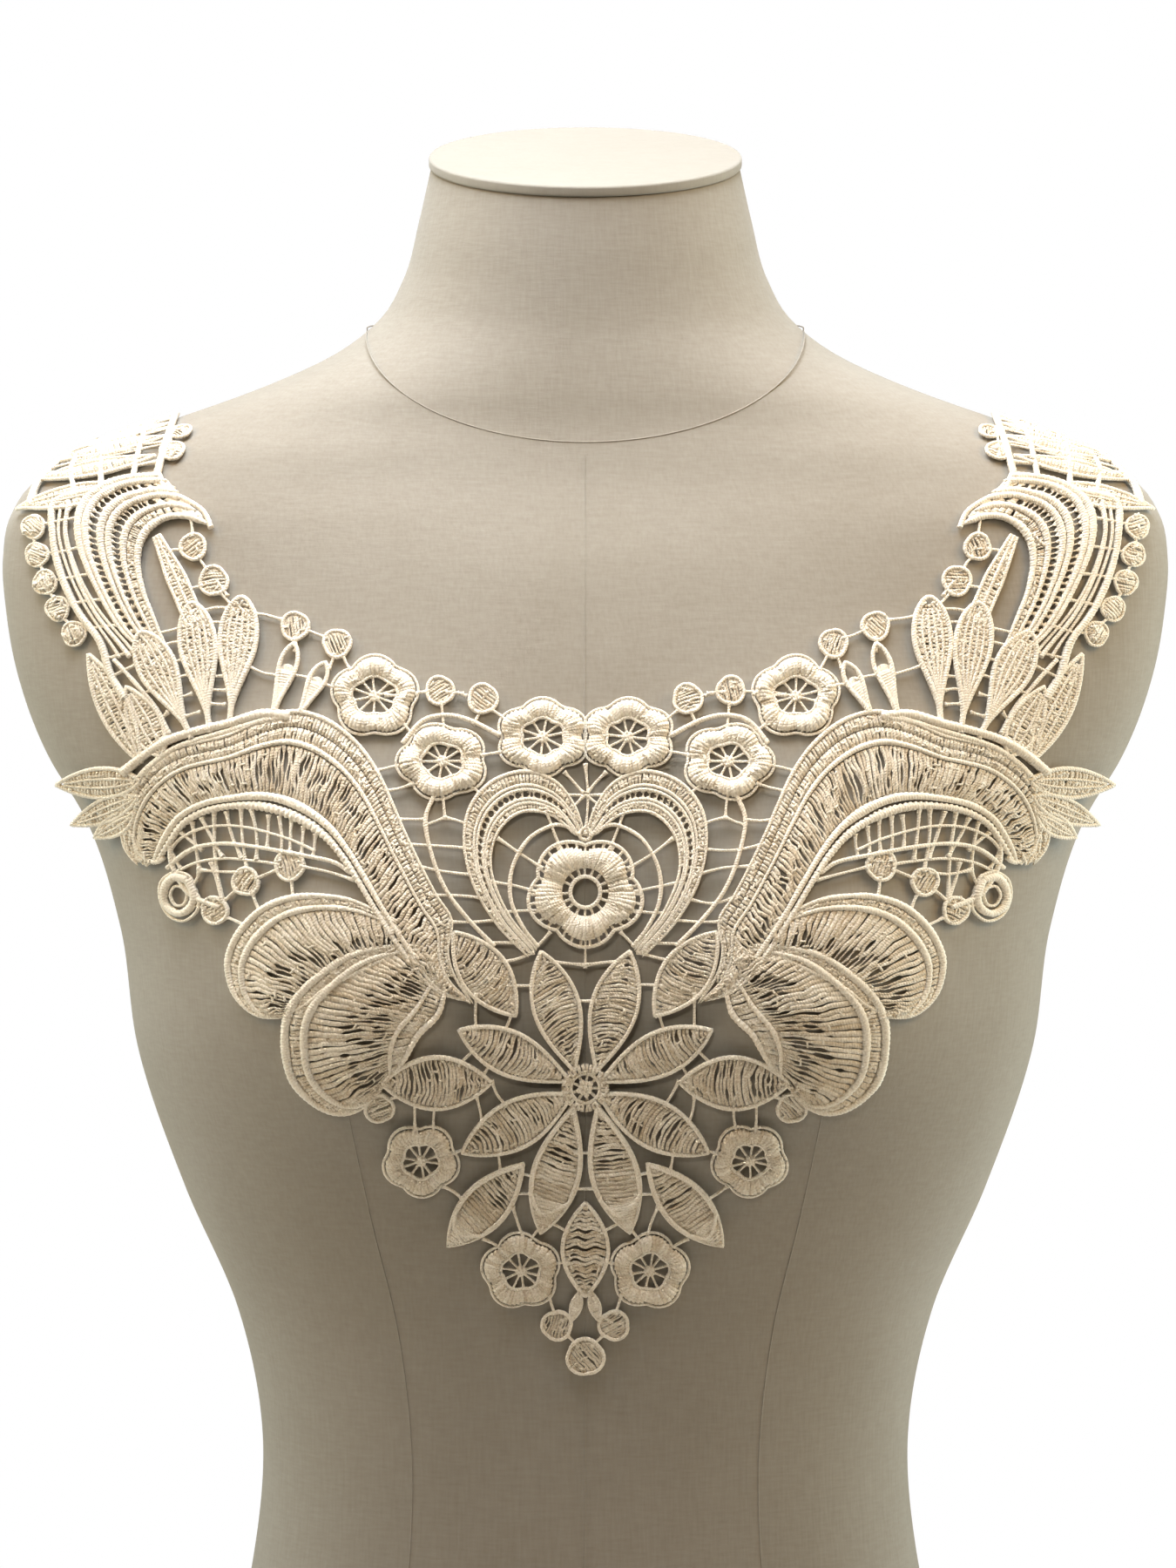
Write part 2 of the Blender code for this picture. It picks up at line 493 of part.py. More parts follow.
def chart_lace():
    """Chart of the whole collar."""
    chart = Chart()
    for flower in FLOWERS:
        chart_flower(chart, flower)
    chart_flower(chart, HEART_FLOWER, mirrored=False)
    for leaf in LEAVES:
        chart_leaf(chart, leaf)
    chart_leaf(chart, POINT_LEAF, mirrored=False)
    for picot in PICOTS:
        chart_picot(chart, picot)
    for picot in (TIP_PICOT, HUB, CLEFT_KNOT):
        chart_picot(chart, picot, mirrored=False)
    for outline in (HEART_BAND, SCROLL, UPPER_SHELL, LOWER_SHELL, WING_ARCH, LOOP):
        chart.thread(outline)
    chart.gap(LOOP_GAP)
    for cord in CORDS:
        chart.thread(ribbon(cord.route, cord.width))
    for bar in BARS:
        ends = (bar.across, bar.up), (bar.to_across, bar.to_up)
        chart.thread(ribbon(ends, BAR_WIDTH), mirrored=bar.across != -bar.to_across)
    for seam in (CENTRE_SEAM, WING_SEAM):
        chart.gap(ribbon(seam, SEAM_GAP))
    return chart


def triangulate(points, edges, outlines):
    """Constrained triangles of a set of points, edges and outlines, with what each came from."""
    return delaunay_2d_cdt([Vector(point) for point in points], edges, outlines, 0, 0.02)


def fused_outline(chart):
    """Points and edges of the border between thread and gaps, welded where it would pinch."""
    for _ in range(WELD_ROUNDS):
        points, outlines = [], []
        for outline in chart.threads + chart.gaps:
            start = len(points)
            points.extend(outline)
            outlines.append(list(range(start, len(points))))
        verts, _, faces, _, _, sources = triangulate(points, [], outlines)
        threads = len(chart.threads)
        borders = {}
        near_gap = set()
        for face, source in zip(faces, sources):
            in_gap = any(i >= threads for i in source)
            if in_gap:
                near_gap.update(face)
            elif source:
                for a, b in zip(face, face[1:] + face[:1]):
                    key = (min(a, b), max(a, b))
                    borders[key] = borders.get(key, 0) + 1
        edges = [key for key, uses in borders.items() if uses == 1]
        ends = [vert for edge in edges for vert in edge]
        pinched = [vert for vert in sorted(set(ends)) if ends.count(vert) != 2]
        if not pinched:
            return [tuple(vert) for vert in verts], edges
        for vert in pinched:
            weld = oval(verts[vert][0], verts[vert][1], WELD_RADIUS, WELD_RADIUS, WELD_POINTS)
            (chart.gap if vert in near_gap else chart.thread)(weld, mirrored=False)
    raise ValueError("the lace's border still pinches")


def inside(points, starts, ends):
    """Which points lie within the borders, by the count of crossings."""
    x, y = points[:, 0][:, None], points[:, 1][:, None]
    x0, y0 = starts[:, 0][None], starts[:, 1][None]
    x1, y1 = ends[:, 0][None], ends[:, 1][None]
    spans = (y0 > y) != (y1 > y)
    height = np.where(y1 == y0, 1.0, y1 - y0)
    return ((spans & (x < x0 + (y - y0) * (x1 - x0) / height)).sum(axis=1) % 2) == 1


def border_distance(points, starts, ends):
    """Distance of each point to the nearest border."""
    along = ends - starts
    length = np.maximum((along ** 2).sum(axis=1), 1e-12)
    share = np.clip(((points[:, None] - starts) * along).sum(axis=2) / length, 0, 1)
    nearest = starts + share[:, :, None] * along
    return np.sqrt(((points[:, None] - nearest) ** 2).sum(axis=2)).min(axis=1)


def tidy_border(points, edges):
    """Drop border points on straight lines, and loops too small to show."""
    links = {}
    for a, b in edges:
        links.setdefault(a, []).append(b)
        links.setdefault(b, []).append(a)
    for vert in list(links):
        a, b = links[vert]
        if b in links[a]:
            continue
        start, mid, end = (np.array(points[i]) for i in (a, vert, b))
        chord = end - start
        length = max(np.linalg.norm(chord), 1e-6)
        off = abs(chord[0] * (mid - start)[1] - chord[1] * (mid - start)[0]) / length
        if off < STRAIGHT_WITHIN:
            links[a][links[a].index(vert)] = b
            links[b][links[b].index(vert)] = a
            del links[vert]
    kept, pairs, seen = [], [], set()
    for first in links:
        if first in seen:
            continue
        loop, vert, before = [], first, None
        while vert not in seen:
            seen.add(vert)
            loop.append(points[vert])
            ahead = links[vert][0] if links[vert][0] != before else links[vert][1]
            vert, before = ahead, vert
        area = sum(a[0] * b[1] - a[1] * b[0] for a, b in zip(loop, loop[1:] + loop[:1])) / 2
        if abs(area) < SMALLEST_GAP:
            continue
        start = len(kept)
        kept.extend(loop)
        pairs.extend((start + i, start + (i + 1) % len(loop)) for i in range(len(loop)))
    return np.array(kept), pairs


def lace_triangles(chart):
    """Points, relief and triangles of the fused lace."""
    border, edges = tidy_border(*fused_outline(chart))
    starts, ends = border[[a for a, _ in edges]], border[[b for _, b in edges]]
    raised = np.array(chart.raised)
    low, high = border.min(axis=0), border.max(axis=0)
    columns = np.arange(low[0], high[0], FILL_SPACING)
    rows = np.arange(low[1], high[1], FILL_SPACING)
    grid = np.array([(x, y, FILL_RELIEF) for y in rows for x in columns])
    clear = np.sqrt(((grid[:, None, :2] - raised[None, :, :2]) ** 2).sum(axis=2)).min(axis=1)
    extra = np.vstack((raised, grid[clear > CREST_CLEARANCE]))
    roomy = border_distance(extra[:, :2], starts, ends)
    margin = np.where(np.arange(len(extra)) < len(raised), CREST_MARGIN, FILL_MARGIN)
    extra = extra[inside(extra[:, :2], starts, ends) & (roomy > margin)]
    points = [tuple(point) for point in np.vstack((border, extra[:, :2]))]
    relief = np.concatenate((np.zeros(len(border)), extra[:, 2]))
    verts, _, faces, origins, _, _ = triangulate(points, edges, [])
    verts = np.array([tuple(vert) for vert in verts])
    heights = np.array([max((relief[i] for i in origin), default=0.0) for origin in origins])
    centres = np.array([verts[face].mean(axis=0) for face in faces])
    kept = [face for face, keep in zip(faces, inside(centres, starts, ends)) if keep]
    return verts, heights, kept


def connected(faces):
    """Groups of triangles joined edge to edge."""
    owner = {}
    group = list(range(len(faces)))

    def root(index):
        while group[index] != index:
            group[index] = group[group[index]]
            index = group[index]
        return index

    for index, face in enumerate(faces):
        for a, b in zip(face, face[1:] + face[:1]):
            key = (min(a, b), max(a, b))
            if key in owner:
                group[root(index)] = root(owner[key])
            owner[key] = index
    groups = {}
    for index, face in enumerate(faces):
        groups.setdefault(root(index), []).append(face)
    return list(groups.values())


def holds(verts, faces, point):
    """Whether one of the triangles holds a point."""
    for face in faces:
        a, b, c = verts[face[0]], verts[face[1]], verts[face[2]]
        signs = [
            (q[0] - p[0]) * (point[1] - p[1]) - (q[1] - p[1]) * (point[0] - p[0])
            for p, q in ((a, b), (b, c), (c, a))
        ]
        if min(signs) >= 0 or max(signs) <= 0:
            return True
    return False


def material(name, colour, roughness):
    """A Principled BSDF finish."""
    finish = bpy.data.materials.new(name)
    finish.use_nodes = True
    shader = finish.node_tree.nodes["Principled BSDF"]
    shader.inputs["Base Color"].default_value = (*colour, 1.0)
    shader.inputs["Roughness"].default_value = roughness
    shader.inputs["Metallic"].default_value = 0.0
    return finish


def add_object(name, bm, finish, collection):
    """Turn a bmesh into a named object."""
    bmesh.ops.triangulate(bm, faces=bm.faces[:])
    bmesh.ops.recalc_face_normals(bm, faces=bm.faces[:])
    mesh = bpy.data.meshes.new(name)
    bm.to_mesh(mesh)
    bm.free()
    mesh.materials.append(finish)
    mesh.shade_smooth()
    mesh.set_sharp_from_angle(angle=math.radians(35))
    obj = bpy.data.objects.new(name, mesh)
    collection.objects.link(obj)
    return obj


def build_lace_piece(name, verts, heights, faces, finish, collection):
    """Extrude a group of chart triangles into a wall and lay it over the form."""
    bm = bmesh.new()
    relief = bm.verts.layers.float.new("relief")
    used = {}
    for index in sorted({i for face in faces for i in face}):
        vert = bm.verts.new((verts[index][0], verts[index][1], 0.0))
        vert[relief] = heights[index]
        used[index] = vert
    for face in faces:
        bm.faces.new([used[i] for i in face])
    grown = bmesh.ops.extrude_face_region(bm, geom=bm.faces[:], use_keep_orig=True)
    for item in grown["geom"]:
        if isinstance(item, bmesh.types.BMVert):
            item.co.z = 1.0
    for vert in bm.verts:
        lift = LACE_CLEARANCE
        if vert.co.z > 0.5:
            lift += LACE_THICKNESS + vert[relief]
        vert.co = drape(vert.co.x, vert.co.y, lift)
    return add_object(name, bm, finish, collection)


def build_lace(finish, collection):
    """The five pieces of the collar."""
    verts, heights, faces = lace_triangles(chart_lace())
    built = []
    groups = connected(faces)
    seeds = []
    for piece in PIECES:
        seeds.append((piece.left, (-piece.across, piece.up)))
        if piece.right != piece.left:
            seeds.append((piece.right, (piece.across, piece.up)))
    for name, point in seeds:
        group = next(group for group in groups if holds(verts, group, point))
        built.append(build_lace_piece(name, verts, heights, group, finish, collection))
    return built


def ring(height):
    """One closed section of the form, tilted forward in the neck."""
    half = float(section_values("half_width", height))
    tilt = math.radians(CAP_TILT_DEGREES) * max(0.0, (height - TILT_START) / (NECK_TOP - TILT_START))
    points = []
    for index in range(FORM_SEGMENTS):
        angle = 2 * math.pi * index / FORM_SEGMENTS
        power = float(section_values("power", height))
        across = half * math.copysign(abs(math.cos(angle)) ** (2 / power), math.cos(angle))
        if math.sin(angle) < 0:
            depth = float(front_of_form(across, height))
        else:
            depth = float(back_of_form(across, height))
        points.append(Vector((across, depth, height + math.tan(tilt) * depth)) * MM)
    return points


def loft(rings):
    """Closed solid through a run of rings."""
    bm = bmesh.new()
    loops = [[bm.verts.new(point) for point in points] for points in rings]
    for low, high in zip(loops, loops[1:]):
        for index in range(len(low)):
            after = (index + 1) % len(low)
            bm.faces.new((low[index], low[after], high[after], high[index]))
    bm.faces.new(loops[0][::-1])
    bm.faces.new(loops[-1])
    return bm


def build_form(finish, cap_finish, collection):
    """The torso with its neck, and the neck cap."""
    runs = [np.arange(*run) for run in (HIP_RINGS, BODY_RINGS, SHOULDER_RINGS, NECK_RINGS)]
    heights = np.concatenate((BASE_RING_HEIGHTS, *runs, [NECK_TOP]))
    torso = add_object("form_torso", loft([ring(height) for height in heights]), finish, collection)
    top = ring(NECK_TOP)
    tilt = math.radians(CAP_TILT_DEGREES)
    up = Vector((0.0, -math.sin(tilt), math.cos(tilt))) * MM
    middle = sum(top, Vector()) / len(top)
    radius = SECTIONS[-1].half_width
    rings = []
    for lift, growth in (
        (SEAM_GAP, CAP_OVERHANG - CAP_ROUNDING),
        (SEAM_GAP + CAP_ROUNDING, CAP_OVERHANG),
        (CAP_THICKNESS - CAP_ROUNDING, CAP_OVERHANG),
        (CAP_THICKNESS, CAP_OVERHANG - CAP_ROUNDING),
    ):
        grown = 1 + growth / radius
        rings.append([middle + (point - middle) * grown + up * lift for point in top])
    return [torso, add_object("neck_cap", loft(rings), cap_finish, collection)]


def centre_on_base(objects):
    """Move everything so that the middle of the whole stands on the origin."""
    corners = [vert.co for obj in objects for vert in obj.data.vertices]
    low = Vector(min(corner[axis] for corner in corners) for axis in range(3))
    high = Vector(max(corner[axis] for corner in corners) for axis in range(3))
    shift = Vector((-(low.x + high.x) / 2, -(low.y + high.y) / 2, -low.z))
    for obj in objects:
        for vert in obj.data.vertices:
            vert.co += shift


def main():
    """Clear the scene and build the collar on its form."""
    for obj in list(bpy.data.objects):
        bpy.data.objects.remove(obj, do_unlink=True)
    collection = bpy.data.collections.new("lace_collar")
    bpy.context.scene.collection.children.link(collection)
    linen = material("linen", (0.62, 0.56, 0.49), 0.9)
    cap_linen = material("cap_linen", (0.80, 0.75, 0.67), 0.9)
    ecru = material("ecru_thread", (0.74, 0.63, 0.47), 0.75)
    objects = build_form(linen, cap_linen, collection)
    objects += build_lace(ecru, collection)
    centre_on_base(objects)


main()
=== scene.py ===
"""Looks of a guipure lace collar that rests on a limbless dress form.

The lace is charted flat, in millimetres across from the centre front and up from the daisy's hub.
Every thread is swept along its route in that chart and then laid over the form's surface, so cords,
satin pads, rungs and picots are real thread with real gaps between them.
"""

import logging
import math
from dataclasses import dataclass, replace
from enum import Enum
from typing import Iterable, Sequence

import bpy
import numpy as np
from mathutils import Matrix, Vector


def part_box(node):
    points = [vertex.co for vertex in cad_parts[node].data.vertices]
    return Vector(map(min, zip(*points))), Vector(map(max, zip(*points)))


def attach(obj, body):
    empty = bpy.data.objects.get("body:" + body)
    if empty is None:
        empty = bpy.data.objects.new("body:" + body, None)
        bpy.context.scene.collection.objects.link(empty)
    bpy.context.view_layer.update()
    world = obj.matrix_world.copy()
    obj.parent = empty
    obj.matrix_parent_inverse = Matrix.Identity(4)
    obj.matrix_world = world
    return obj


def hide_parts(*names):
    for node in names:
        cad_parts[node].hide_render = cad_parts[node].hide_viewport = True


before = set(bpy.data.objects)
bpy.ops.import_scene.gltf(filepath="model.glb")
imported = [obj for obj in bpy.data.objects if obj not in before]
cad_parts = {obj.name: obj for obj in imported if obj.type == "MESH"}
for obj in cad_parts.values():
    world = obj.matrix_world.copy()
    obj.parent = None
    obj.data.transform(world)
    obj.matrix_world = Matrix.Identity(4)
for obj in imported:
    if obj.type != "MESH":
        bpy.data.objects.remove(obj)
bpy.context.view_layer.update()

LOG = logging.getLogger("lace_collar")
MM = 0.001

Points = np.ndarray
Place = tuple[float, float]
Route = tuple[Place, ...]

# How the lace lies on the form, in millimetres.
HUB_HEIGHT = 320.6
LACE_CLEARANCE = 0.9
TURN_BELOW_RIDGE = 40.0
CLEAVAGE_BRIDGE = 0.2
HANG_BELOW_BUST = 1.1
SIDE_CAP = 0.88
SIDE_CAP_FADE = (470.0, 492.0)

# Sizes of the thread work, in millimetres.
WRAP_PITCH = 1.7
CORD_STEP = 0.62
BAR_THREAD = 1.0
RIM_THREAD = 1.3
OUTLINE_THREAD = 1.5
NARROW_LEAF = 6.0
BROAD_CORD = 4.5

# How bright threads are, from 0 to 1.
RIM_TONE = 0.85
CORD_TONE = 0.8


class Side(Enum):
    """Half of the collar, as the sign of its distance across."""

    LEFT = -1.0
    RIGHT = 1.0


class Group(Enum):
    """Piece of the collar that a motif belongs to."""

    CENTRE = "centre"
    SCROLL = "scroll"
    WING = "wing"


class Lane(Enum):
    """What fills one strip of a band."""

    CORD = "padded cord"
    ROPE = "cord with bold windings"
    MOTTLED = "dense stitches"
    RIBS = "threads across, parted by slits"
    LADDER = "open rungs"


class LeafStyle(Enum):
    """How a leaf is worked."""

    MOTTLED = "dense filling with short slits"
    RIBBED = "clear ribs across"
    CAPPED = "ribs across, with a smooth pointed end"
    CHEVRON = "waved ribs across"
    FEATHER = "lanes along it under a padded head"
    VEINED = "lanes along it"
    BUD = "stalk that ends in an eyelet"
    SATIN = "padded satin"


class PicotStyle(Enum):
    """How a picot is worked."""

    NET = "sunken mottled middle"
    FULL = "domed middle"


@dataclass(frozen=True)
class Filling:
    """How threads fill the room between two edges, in millimetres and shares."""

    pitch: float = 1.4
    crown: float = 0.5
    lift: float = 1.55
    bend: float = 0.0
    slant: float = 0.0
    wave: float = 0.0
    tight: float = 0.4
    gather: float = 0.0
    gather_at: float = 0.5
    slit_length: float = 2.6
    slit_width: float = 0.85
    wander: float = 0.3
    overlap: float = 1.12
    spine: bool = False
    catches: float = 0.12
    tone: float = 0.5


DENSE = Filling(pitch=1.2, crown=0.45, tight=0.9, slit_length=1.1, slit_width=0.55, catches=0.4,
                tone=0.6, wander=0.15)
SATIN_STITCH = Filling(pitch=1.1, crown=1.2, lift=1.9, tight=1.9, slit_length=1.6, slit_width=0.5,
                       catches=0.1, tone=0.8, overlap=1.5, wander=0.25)
LEAF_FILLINGS = {
    LeafStyle.MOTTLED: Filling(pitch=1.3, slant=3.0, tight=0.35, slit_length=1.7, slit_width=0.8, spine=True,
                               catches=0.5, bend=1.2, wander=0.5),
    LeafStyle.RIBBED: Filling(pitch=1.45, bend=-1.4, tight=0.3, slit_length=2.6, slit_width=0.9, spine=True,
                              catches=0.3, crown=0.8, wander=0.45),
    LeafStyle.CAPPED: Filling(pitch=1.45, slant=-1.5, tight=0.1, slit_length=3.2, slit_width=0.9, spine=True,
                              catches=0.2, crown=0.7, wander=0.35),
    LeafStyle.CHEVRON: Filling(pitch=1.6, wave=0.6, tight=0.0, slit_length=2.6, slit_width=0.8, catches=0.1,
                               crown=0.6, wander=0.2),
    LeafStyle.SATIN: Filling(pitch=1.1, tight=1.9, slit_length=1.6, slit_width=0.45, crown=0.9, tone=0.7,
                             overlap=1.4),
}
SCROLL_RIBS = Filling(pitch=1.35, slant=2.5, tight=0.25, slit_length=2.3, slit_width=0.95, catches=0.4,
                      crown=0.8, wander=0.5)
SHELL_RIBS = Filling(pitch=1.5, tight=-0.25, gather=2.4, gather_at=0.68, slit_length=2.2, slit_width=1.15,
                     catches=0.55, crown=1.0, wander=0.55)
HUB_RING = Filling(pitch=1.3, crown=0.9, lift=1.7, tight=1.0, slit_length=1.4, slit_width=0.5,
                   catches=0.5, tone=0.55)
LADDER_RUNGS = Filling(pitch=2.5, crown=0.0, lift=1.4, tight=-9.0, slit_length=9.0, slit_width=1.7,
                       catches=0.0, tone=0.7)
PICOT_FILLINGS = {
    PicotStyle.NET: Filling(pitch=1.15, crown=0.35, lift=1.3, tight=0.5, slit_length=1.4, slit_width=0.5,
                            catches=0.5),
    PicotStyle.FULL: Filling(pitch=1.15, crown=1.2, lift=1.3, tight=1.2, slit_length=1.4, slit_width=0.5,
                             catches=0.5, tone=0.7),
}


@dataclass(frozen=True)
class Section:
    """One level of the dress form."""

    height: float
    half_width: float
    front: float
    back: float
    power: float


FORM_SECTIONS = (
    Section(0.0, 148.0, 97.0, 115.0, 2.30),
    Section(8.0, 150.0, 99.0, 117.0, 2.30),
    Section(60.0, 143.0, 97.0, 112.0, 2.30),
    Section(110.0, 124.0, 90.0, 98.0, 2.20),
    Section(150.0, 114.5, 85.0, 88.0, 2.20),
    Section(190.0, 111.5, 83.0, 83.0, 2.20),
    Section(235.0, 120.0, 86.0, 88.0, 2.20),
    Section(277.0, 138.0, 92.0, 96.0, 2.20),
    Section(325.0, 154.0, 97.0, 103.0, 2.25),
    Section(367.0, 160.0, 100.0, 107.0, 2.25),
    Section(406.0, 173.0, 99.0, 108.0, 2.20),
    Section(424.0, 184.0, 97.0, 107.0, 2.15),
    Section(451.0, 194.5, 91.0, 104.0, 2.10),
    Section(475.0, 199.0, 84.0, 99.0, 2.05),
    Section(493.0, 200.0, 78.0, 94.0, 2.00),
    Section(508.0, 197.0, 71.5, 88.0, 2.00),
    Section(519.0, 189.0, 67.0, 83.0, 1.90),
    Section(529.0, 172.0, 64.0, 79.0, 1.85),
    Section(538.0, 148.0, 62.0, 75.0, 1.80),
    Section(550.0, 114.0, 60.5, 69.0, 1.90),
    Section(562.0, 87.0, 59.0, 64.0, 2.00),
    Section(574.0, 71.0, 57.5, 60.0, 2.00),
    Section(588.0, 62.5, 56.5, 57.5, 2.00),
    Section(608.0, 57.0, 55.5, 55.5, 2.00),
    Section(626.5, 52.8, 54.0, 54.0, 2.00),
)


@dataclass(frozen=True)
class FormShape:
    """The dress form's surface as a formula, in millimetres."""

    sections: tuple[Section, ...] = FORM_SECTIONS
    bust_across: float = 82.0
    bust_height: float = 350.0
    bust_proud: float = 22.0
    bust_spread: float = 52.0
    bust_spread_above: float = 78.0
    bust_fade: float = 2.0
    neck_top: float = 626.5
    tilt_start: float = 548.0
    tilt_degrees: float = 13.0
    shoulder_point: float = 493.0

    def column(self, name: str, heights: Points) -> Points:
        """Read one column of the sections along smooth curves.

        Args:
            name: the field of Section to read.
            heights: heights above the base.

        Returns:
            The column's value at each height.
        """
        knots = np.array([row.height for row in self.sections])
        values = np.array([getattr(row, name) for row in self.sections])
        slopes = np.gradient(values, knots)
        heights = np.clip(np.asarray(heights, dtype=float), knots[0], knots[-1])
        index = np.clip(np.searchsorted(knots, heights) - 1, 0, len(knots) - 2)
        span = knots[index + 1] - knots[index]
        t = (heights - knots[index]) / span
        return (
            values[index] * (1 + 2 * t) * (1 - t) ** 2
            + values[index + 1] * t * t * (3 - 2 * t)
            + slopes[index] * span * t * (1 - t) ** 2
            - slopes[index + 1] * span * t * t * (1 - t)
        )

    def bust(self, across: Points, height: Points, bridge: float = 0.0, hang: float = 1.0) -> Points:
        """Depth that the bust adds in front.

        Args:
            across: distance from the centre front.
            height: height above the base.
            bridge: share of the hollow between that cloth spans.
            hang: how much lower cloth leaves the underside.

        Returns:
            The added depth.
        """
        side = np.exp(-((np.abs(across) - self.bust_across) / self.bust_spread) ** 2)
        side = np.where(np.abs(across) < self.bust_across, side + bridge * (1 - side), side)
        below = self.bust_spread * hang
        spread = np.where(height < self.bust_height, below, self.bust_spread_above)
        return self.bust_proud * side * np.exp(-((height - self.bust_height) / spread) ** 2)

    @staticmethod
    def roundness(ratio: Points, power: Points, cap: Points) -> Points:
        """Depth of a section across its half width.

        Args:
            ratio: share of the half width.
            power: how square the section is.
            cap: share past which the depth is carried on straight.

        Returns:
            The depth as a share of the section's own.
        """
        inside = np.minimum(ratio, cap)
        depth = (1 - inside ** power) ** (1 / power)
        slope = inside ** (power - 1) * np.maximum(1 - inside ** power, 1e-9) ** (1 / power - 1)
        return np.where(ratio > cap, depth - slope * (ratio - cap), depth)

    def front(self, across: Points, height: Points) -> Points:
        """Y of the front surface.

        Args:
            across: distance from the centre front.
            height: height above the base.

        Returns:
            Y in millimetres, negative towards the front.
        """
        ratio = np.minimum(np.abs(across) / self.column("half_width", height), 1.0)
        depth = self.roundness(ratio, self.column("power", height), 1.0)
        proud = self.bust(across, height) * np.minimum(1, self.bust_fade * depth)
        return -self.column("front", height) * depth - proud

    def back(self, across: Points, height: Points) -> Points:
        """Y of the back surface."""
        ratio = np.minimum(np.abs(across) / self.column("half_width", height), 1.0)
        return self.column("back", height) * self.roundness(ratio, self.column("power", height), 1.0)

    def under_lace(self, across: Points, height: Points) -> Points:
        """Y of the surface that the lace lies on, bridged and carried on past the sides.

        Args:
            across: distance from the centre front.
            height: height above the base.

        Returns:
            Y in millimetres, negative towards the front.
        """
        low, high = SIDE_CAP_FADE
        fade = np.clip((height - low) / (high - low), 0, 1)
        cap = SIDE_CAP + (1 - SIDE_CAP) * fade
        ratio = np.abs(across) / self.column("half_width", height)
        ratio = np.where(fade >= 1, np.minimum(ratio, 1.0), ratio)
        depth = self.roundness(ratio, self.column("power", height), cap)
        proud = self.bust(across, height, CLEAVAGE_BRIDGE, HANG_BELOW_BUST)
        return -self.column("front", height) * depth - proud * np.clip(self.bust_fade * depth, 0, 1)

    def ridge(self, across: float) -> float:
        """Height of the shoulder's ridge at a distance across."""
        heights = np.arange(self.shoulder_point, self.neck_top, 0.5)
        return float(np.interp(-abs(across), -self.column("half_width", heights), heights))

    def rings(self, heights: Points, segments: int) -> Points:
        """Rings of points round the form.

        Args:
            heights: one height for each ring.
            segments: points in a ring.

        Returns:
            Points in millimetres, one row of them for each ring.
        """
        angles = 2 * math.pi * np.arange(segments) / segments
        height = np.asarray(heights, dtype=float)[:, None]
        power = self.column("power", height)
        cosine = np.cos(angles)[None]
        across = self.column("half_width", height) * np.sign(cosine) * np.abs(cosine) ** (2 / power)
        level = np.broadcast_to(height, across.shape)
        in_front = np.broadcast_to(np.sin(angles)[None] < 0, across.shape)
        depth = np.where(in_front, self.front(across, level), self.back(across, level))
        share = np.maximum(0.0, (level - self.tilt_start) / (self.neck_top - self.tilt_start))
        rise = level + np.tan(math.radians(self.tilt_degrees) * share) * depth
        return np.stack((across, depth, rise), axis=2)


class Drape:
    """Lays points of the flat chart over the form."""

    across_reach = 206.0
    up_low = -110.0
    up_high = 300.0
    step = 1.0
    ridge_steps = 181

    def __init__(self, shape: FormShape, shift: Vector) -> None:
        """Work out the surface on a grid.

        Args:
            shape: the dress form.
            shift: move from the form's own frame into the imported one, in metres.
        """
        self.shape = shape
        self.shift = np.array(shift)
        self.columns = np.arange(-self.across_reach, self.across_reach + self.step, self.step)
        self.rows = np.arange(self.up_low, self.up_high + self.step, self.step)
        grid = [self.profile(float(across)) for across in self.columns]
        self.grid = np.array(grid)
        along_across = np.gradient(self.grid, self.step, axis=0)
        along_up = np.gradient(self.grid, self.step, axis=1)
        self.normals = np.cross(along_across, along_up)

    def profile(self, across: float) -> Points:
        """Points met by going up the front at one distance across and over the ridge.

        Args:
            across: distance from the centre front.

        Returns:
            A point for each row of the grid.
        """
        shape = self.shape
        travel = self.rows + HUB_HEIGHT
        ridge = shape.ridge(across)
        turn = ridge - TURN_BELOW_RIDGE
        angles = np.linspace(0, math.pi, self.ridge_steps)
        heights = turn + (ridge - turn) * np.sin(angles)
        depths = np.where(angles < math.pi / 2, shape.under_lace(across, heights),
                          shape.back(across, heights))
        middle = self.ridge_steps // 2
        depths[middle] = (shape.under_lace(across, heights) + shape.back(across, heights))[middle] / 2
        run = np.concatenate(([0.0], np.cumsum(np.hypot(np.diff(depths), np.diff(heights)))))
        over = travel > turn
        depth = np.where(over, np.interp(travel - turn, run, depths), shape.under_lace(across, travel))
        height = np.where(over, np.interp(travel - turn, run, heights), travel)
        return np.stack((np.full_like(depth, across), depth, height), axis=1)

    def lay(self, points: Points) -> Points:
        """Lay chart points over the form.

        Args:
            points: rows of across, up and lift, in millimetres.

        Returns:
            Rows of x, y and z in metres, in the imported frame.
        """
        column = np.clip((points[:, 0] - self.columns[0]) / self.step, 0, len(self.columns) - 1.001)
        row = np.clip((points[:, 1] - self.rows[0]) / self.step, 0, len(self.rows) - 1.001)
        i, j = column.astype(int), row.astype(int)
        s, t = (column - i)[:, None], (row - j)[:, None]

        def blend(grid: Points) -> Points:
            """Read a grid between its nodes.

            Args:
                grid: a value at each node.

            Returns:
                The value at each point.
            """
            low = grid[i, j] * (1 - t) + grid[i, j + 1] * t
            high = grid[i + 1, j] * (1 - t) + grid[i + 1, j + 1] * t
            return low * (1 - s) + high * s

        normal = blend(self.normals)
        normal /= np.maximum(np.linalg.norm(normal, axis=1), 1e-9)[:, None]
        return (blend(self.grid) + normal * points[:, 2:]) * MM + self.shift


def unit(vectors: Points) -> Points:
    """Vectors of length one."""
    return vectors / np.maximum(np.linalg.norm(vectors, axis=1), 1e-9)[:, None]


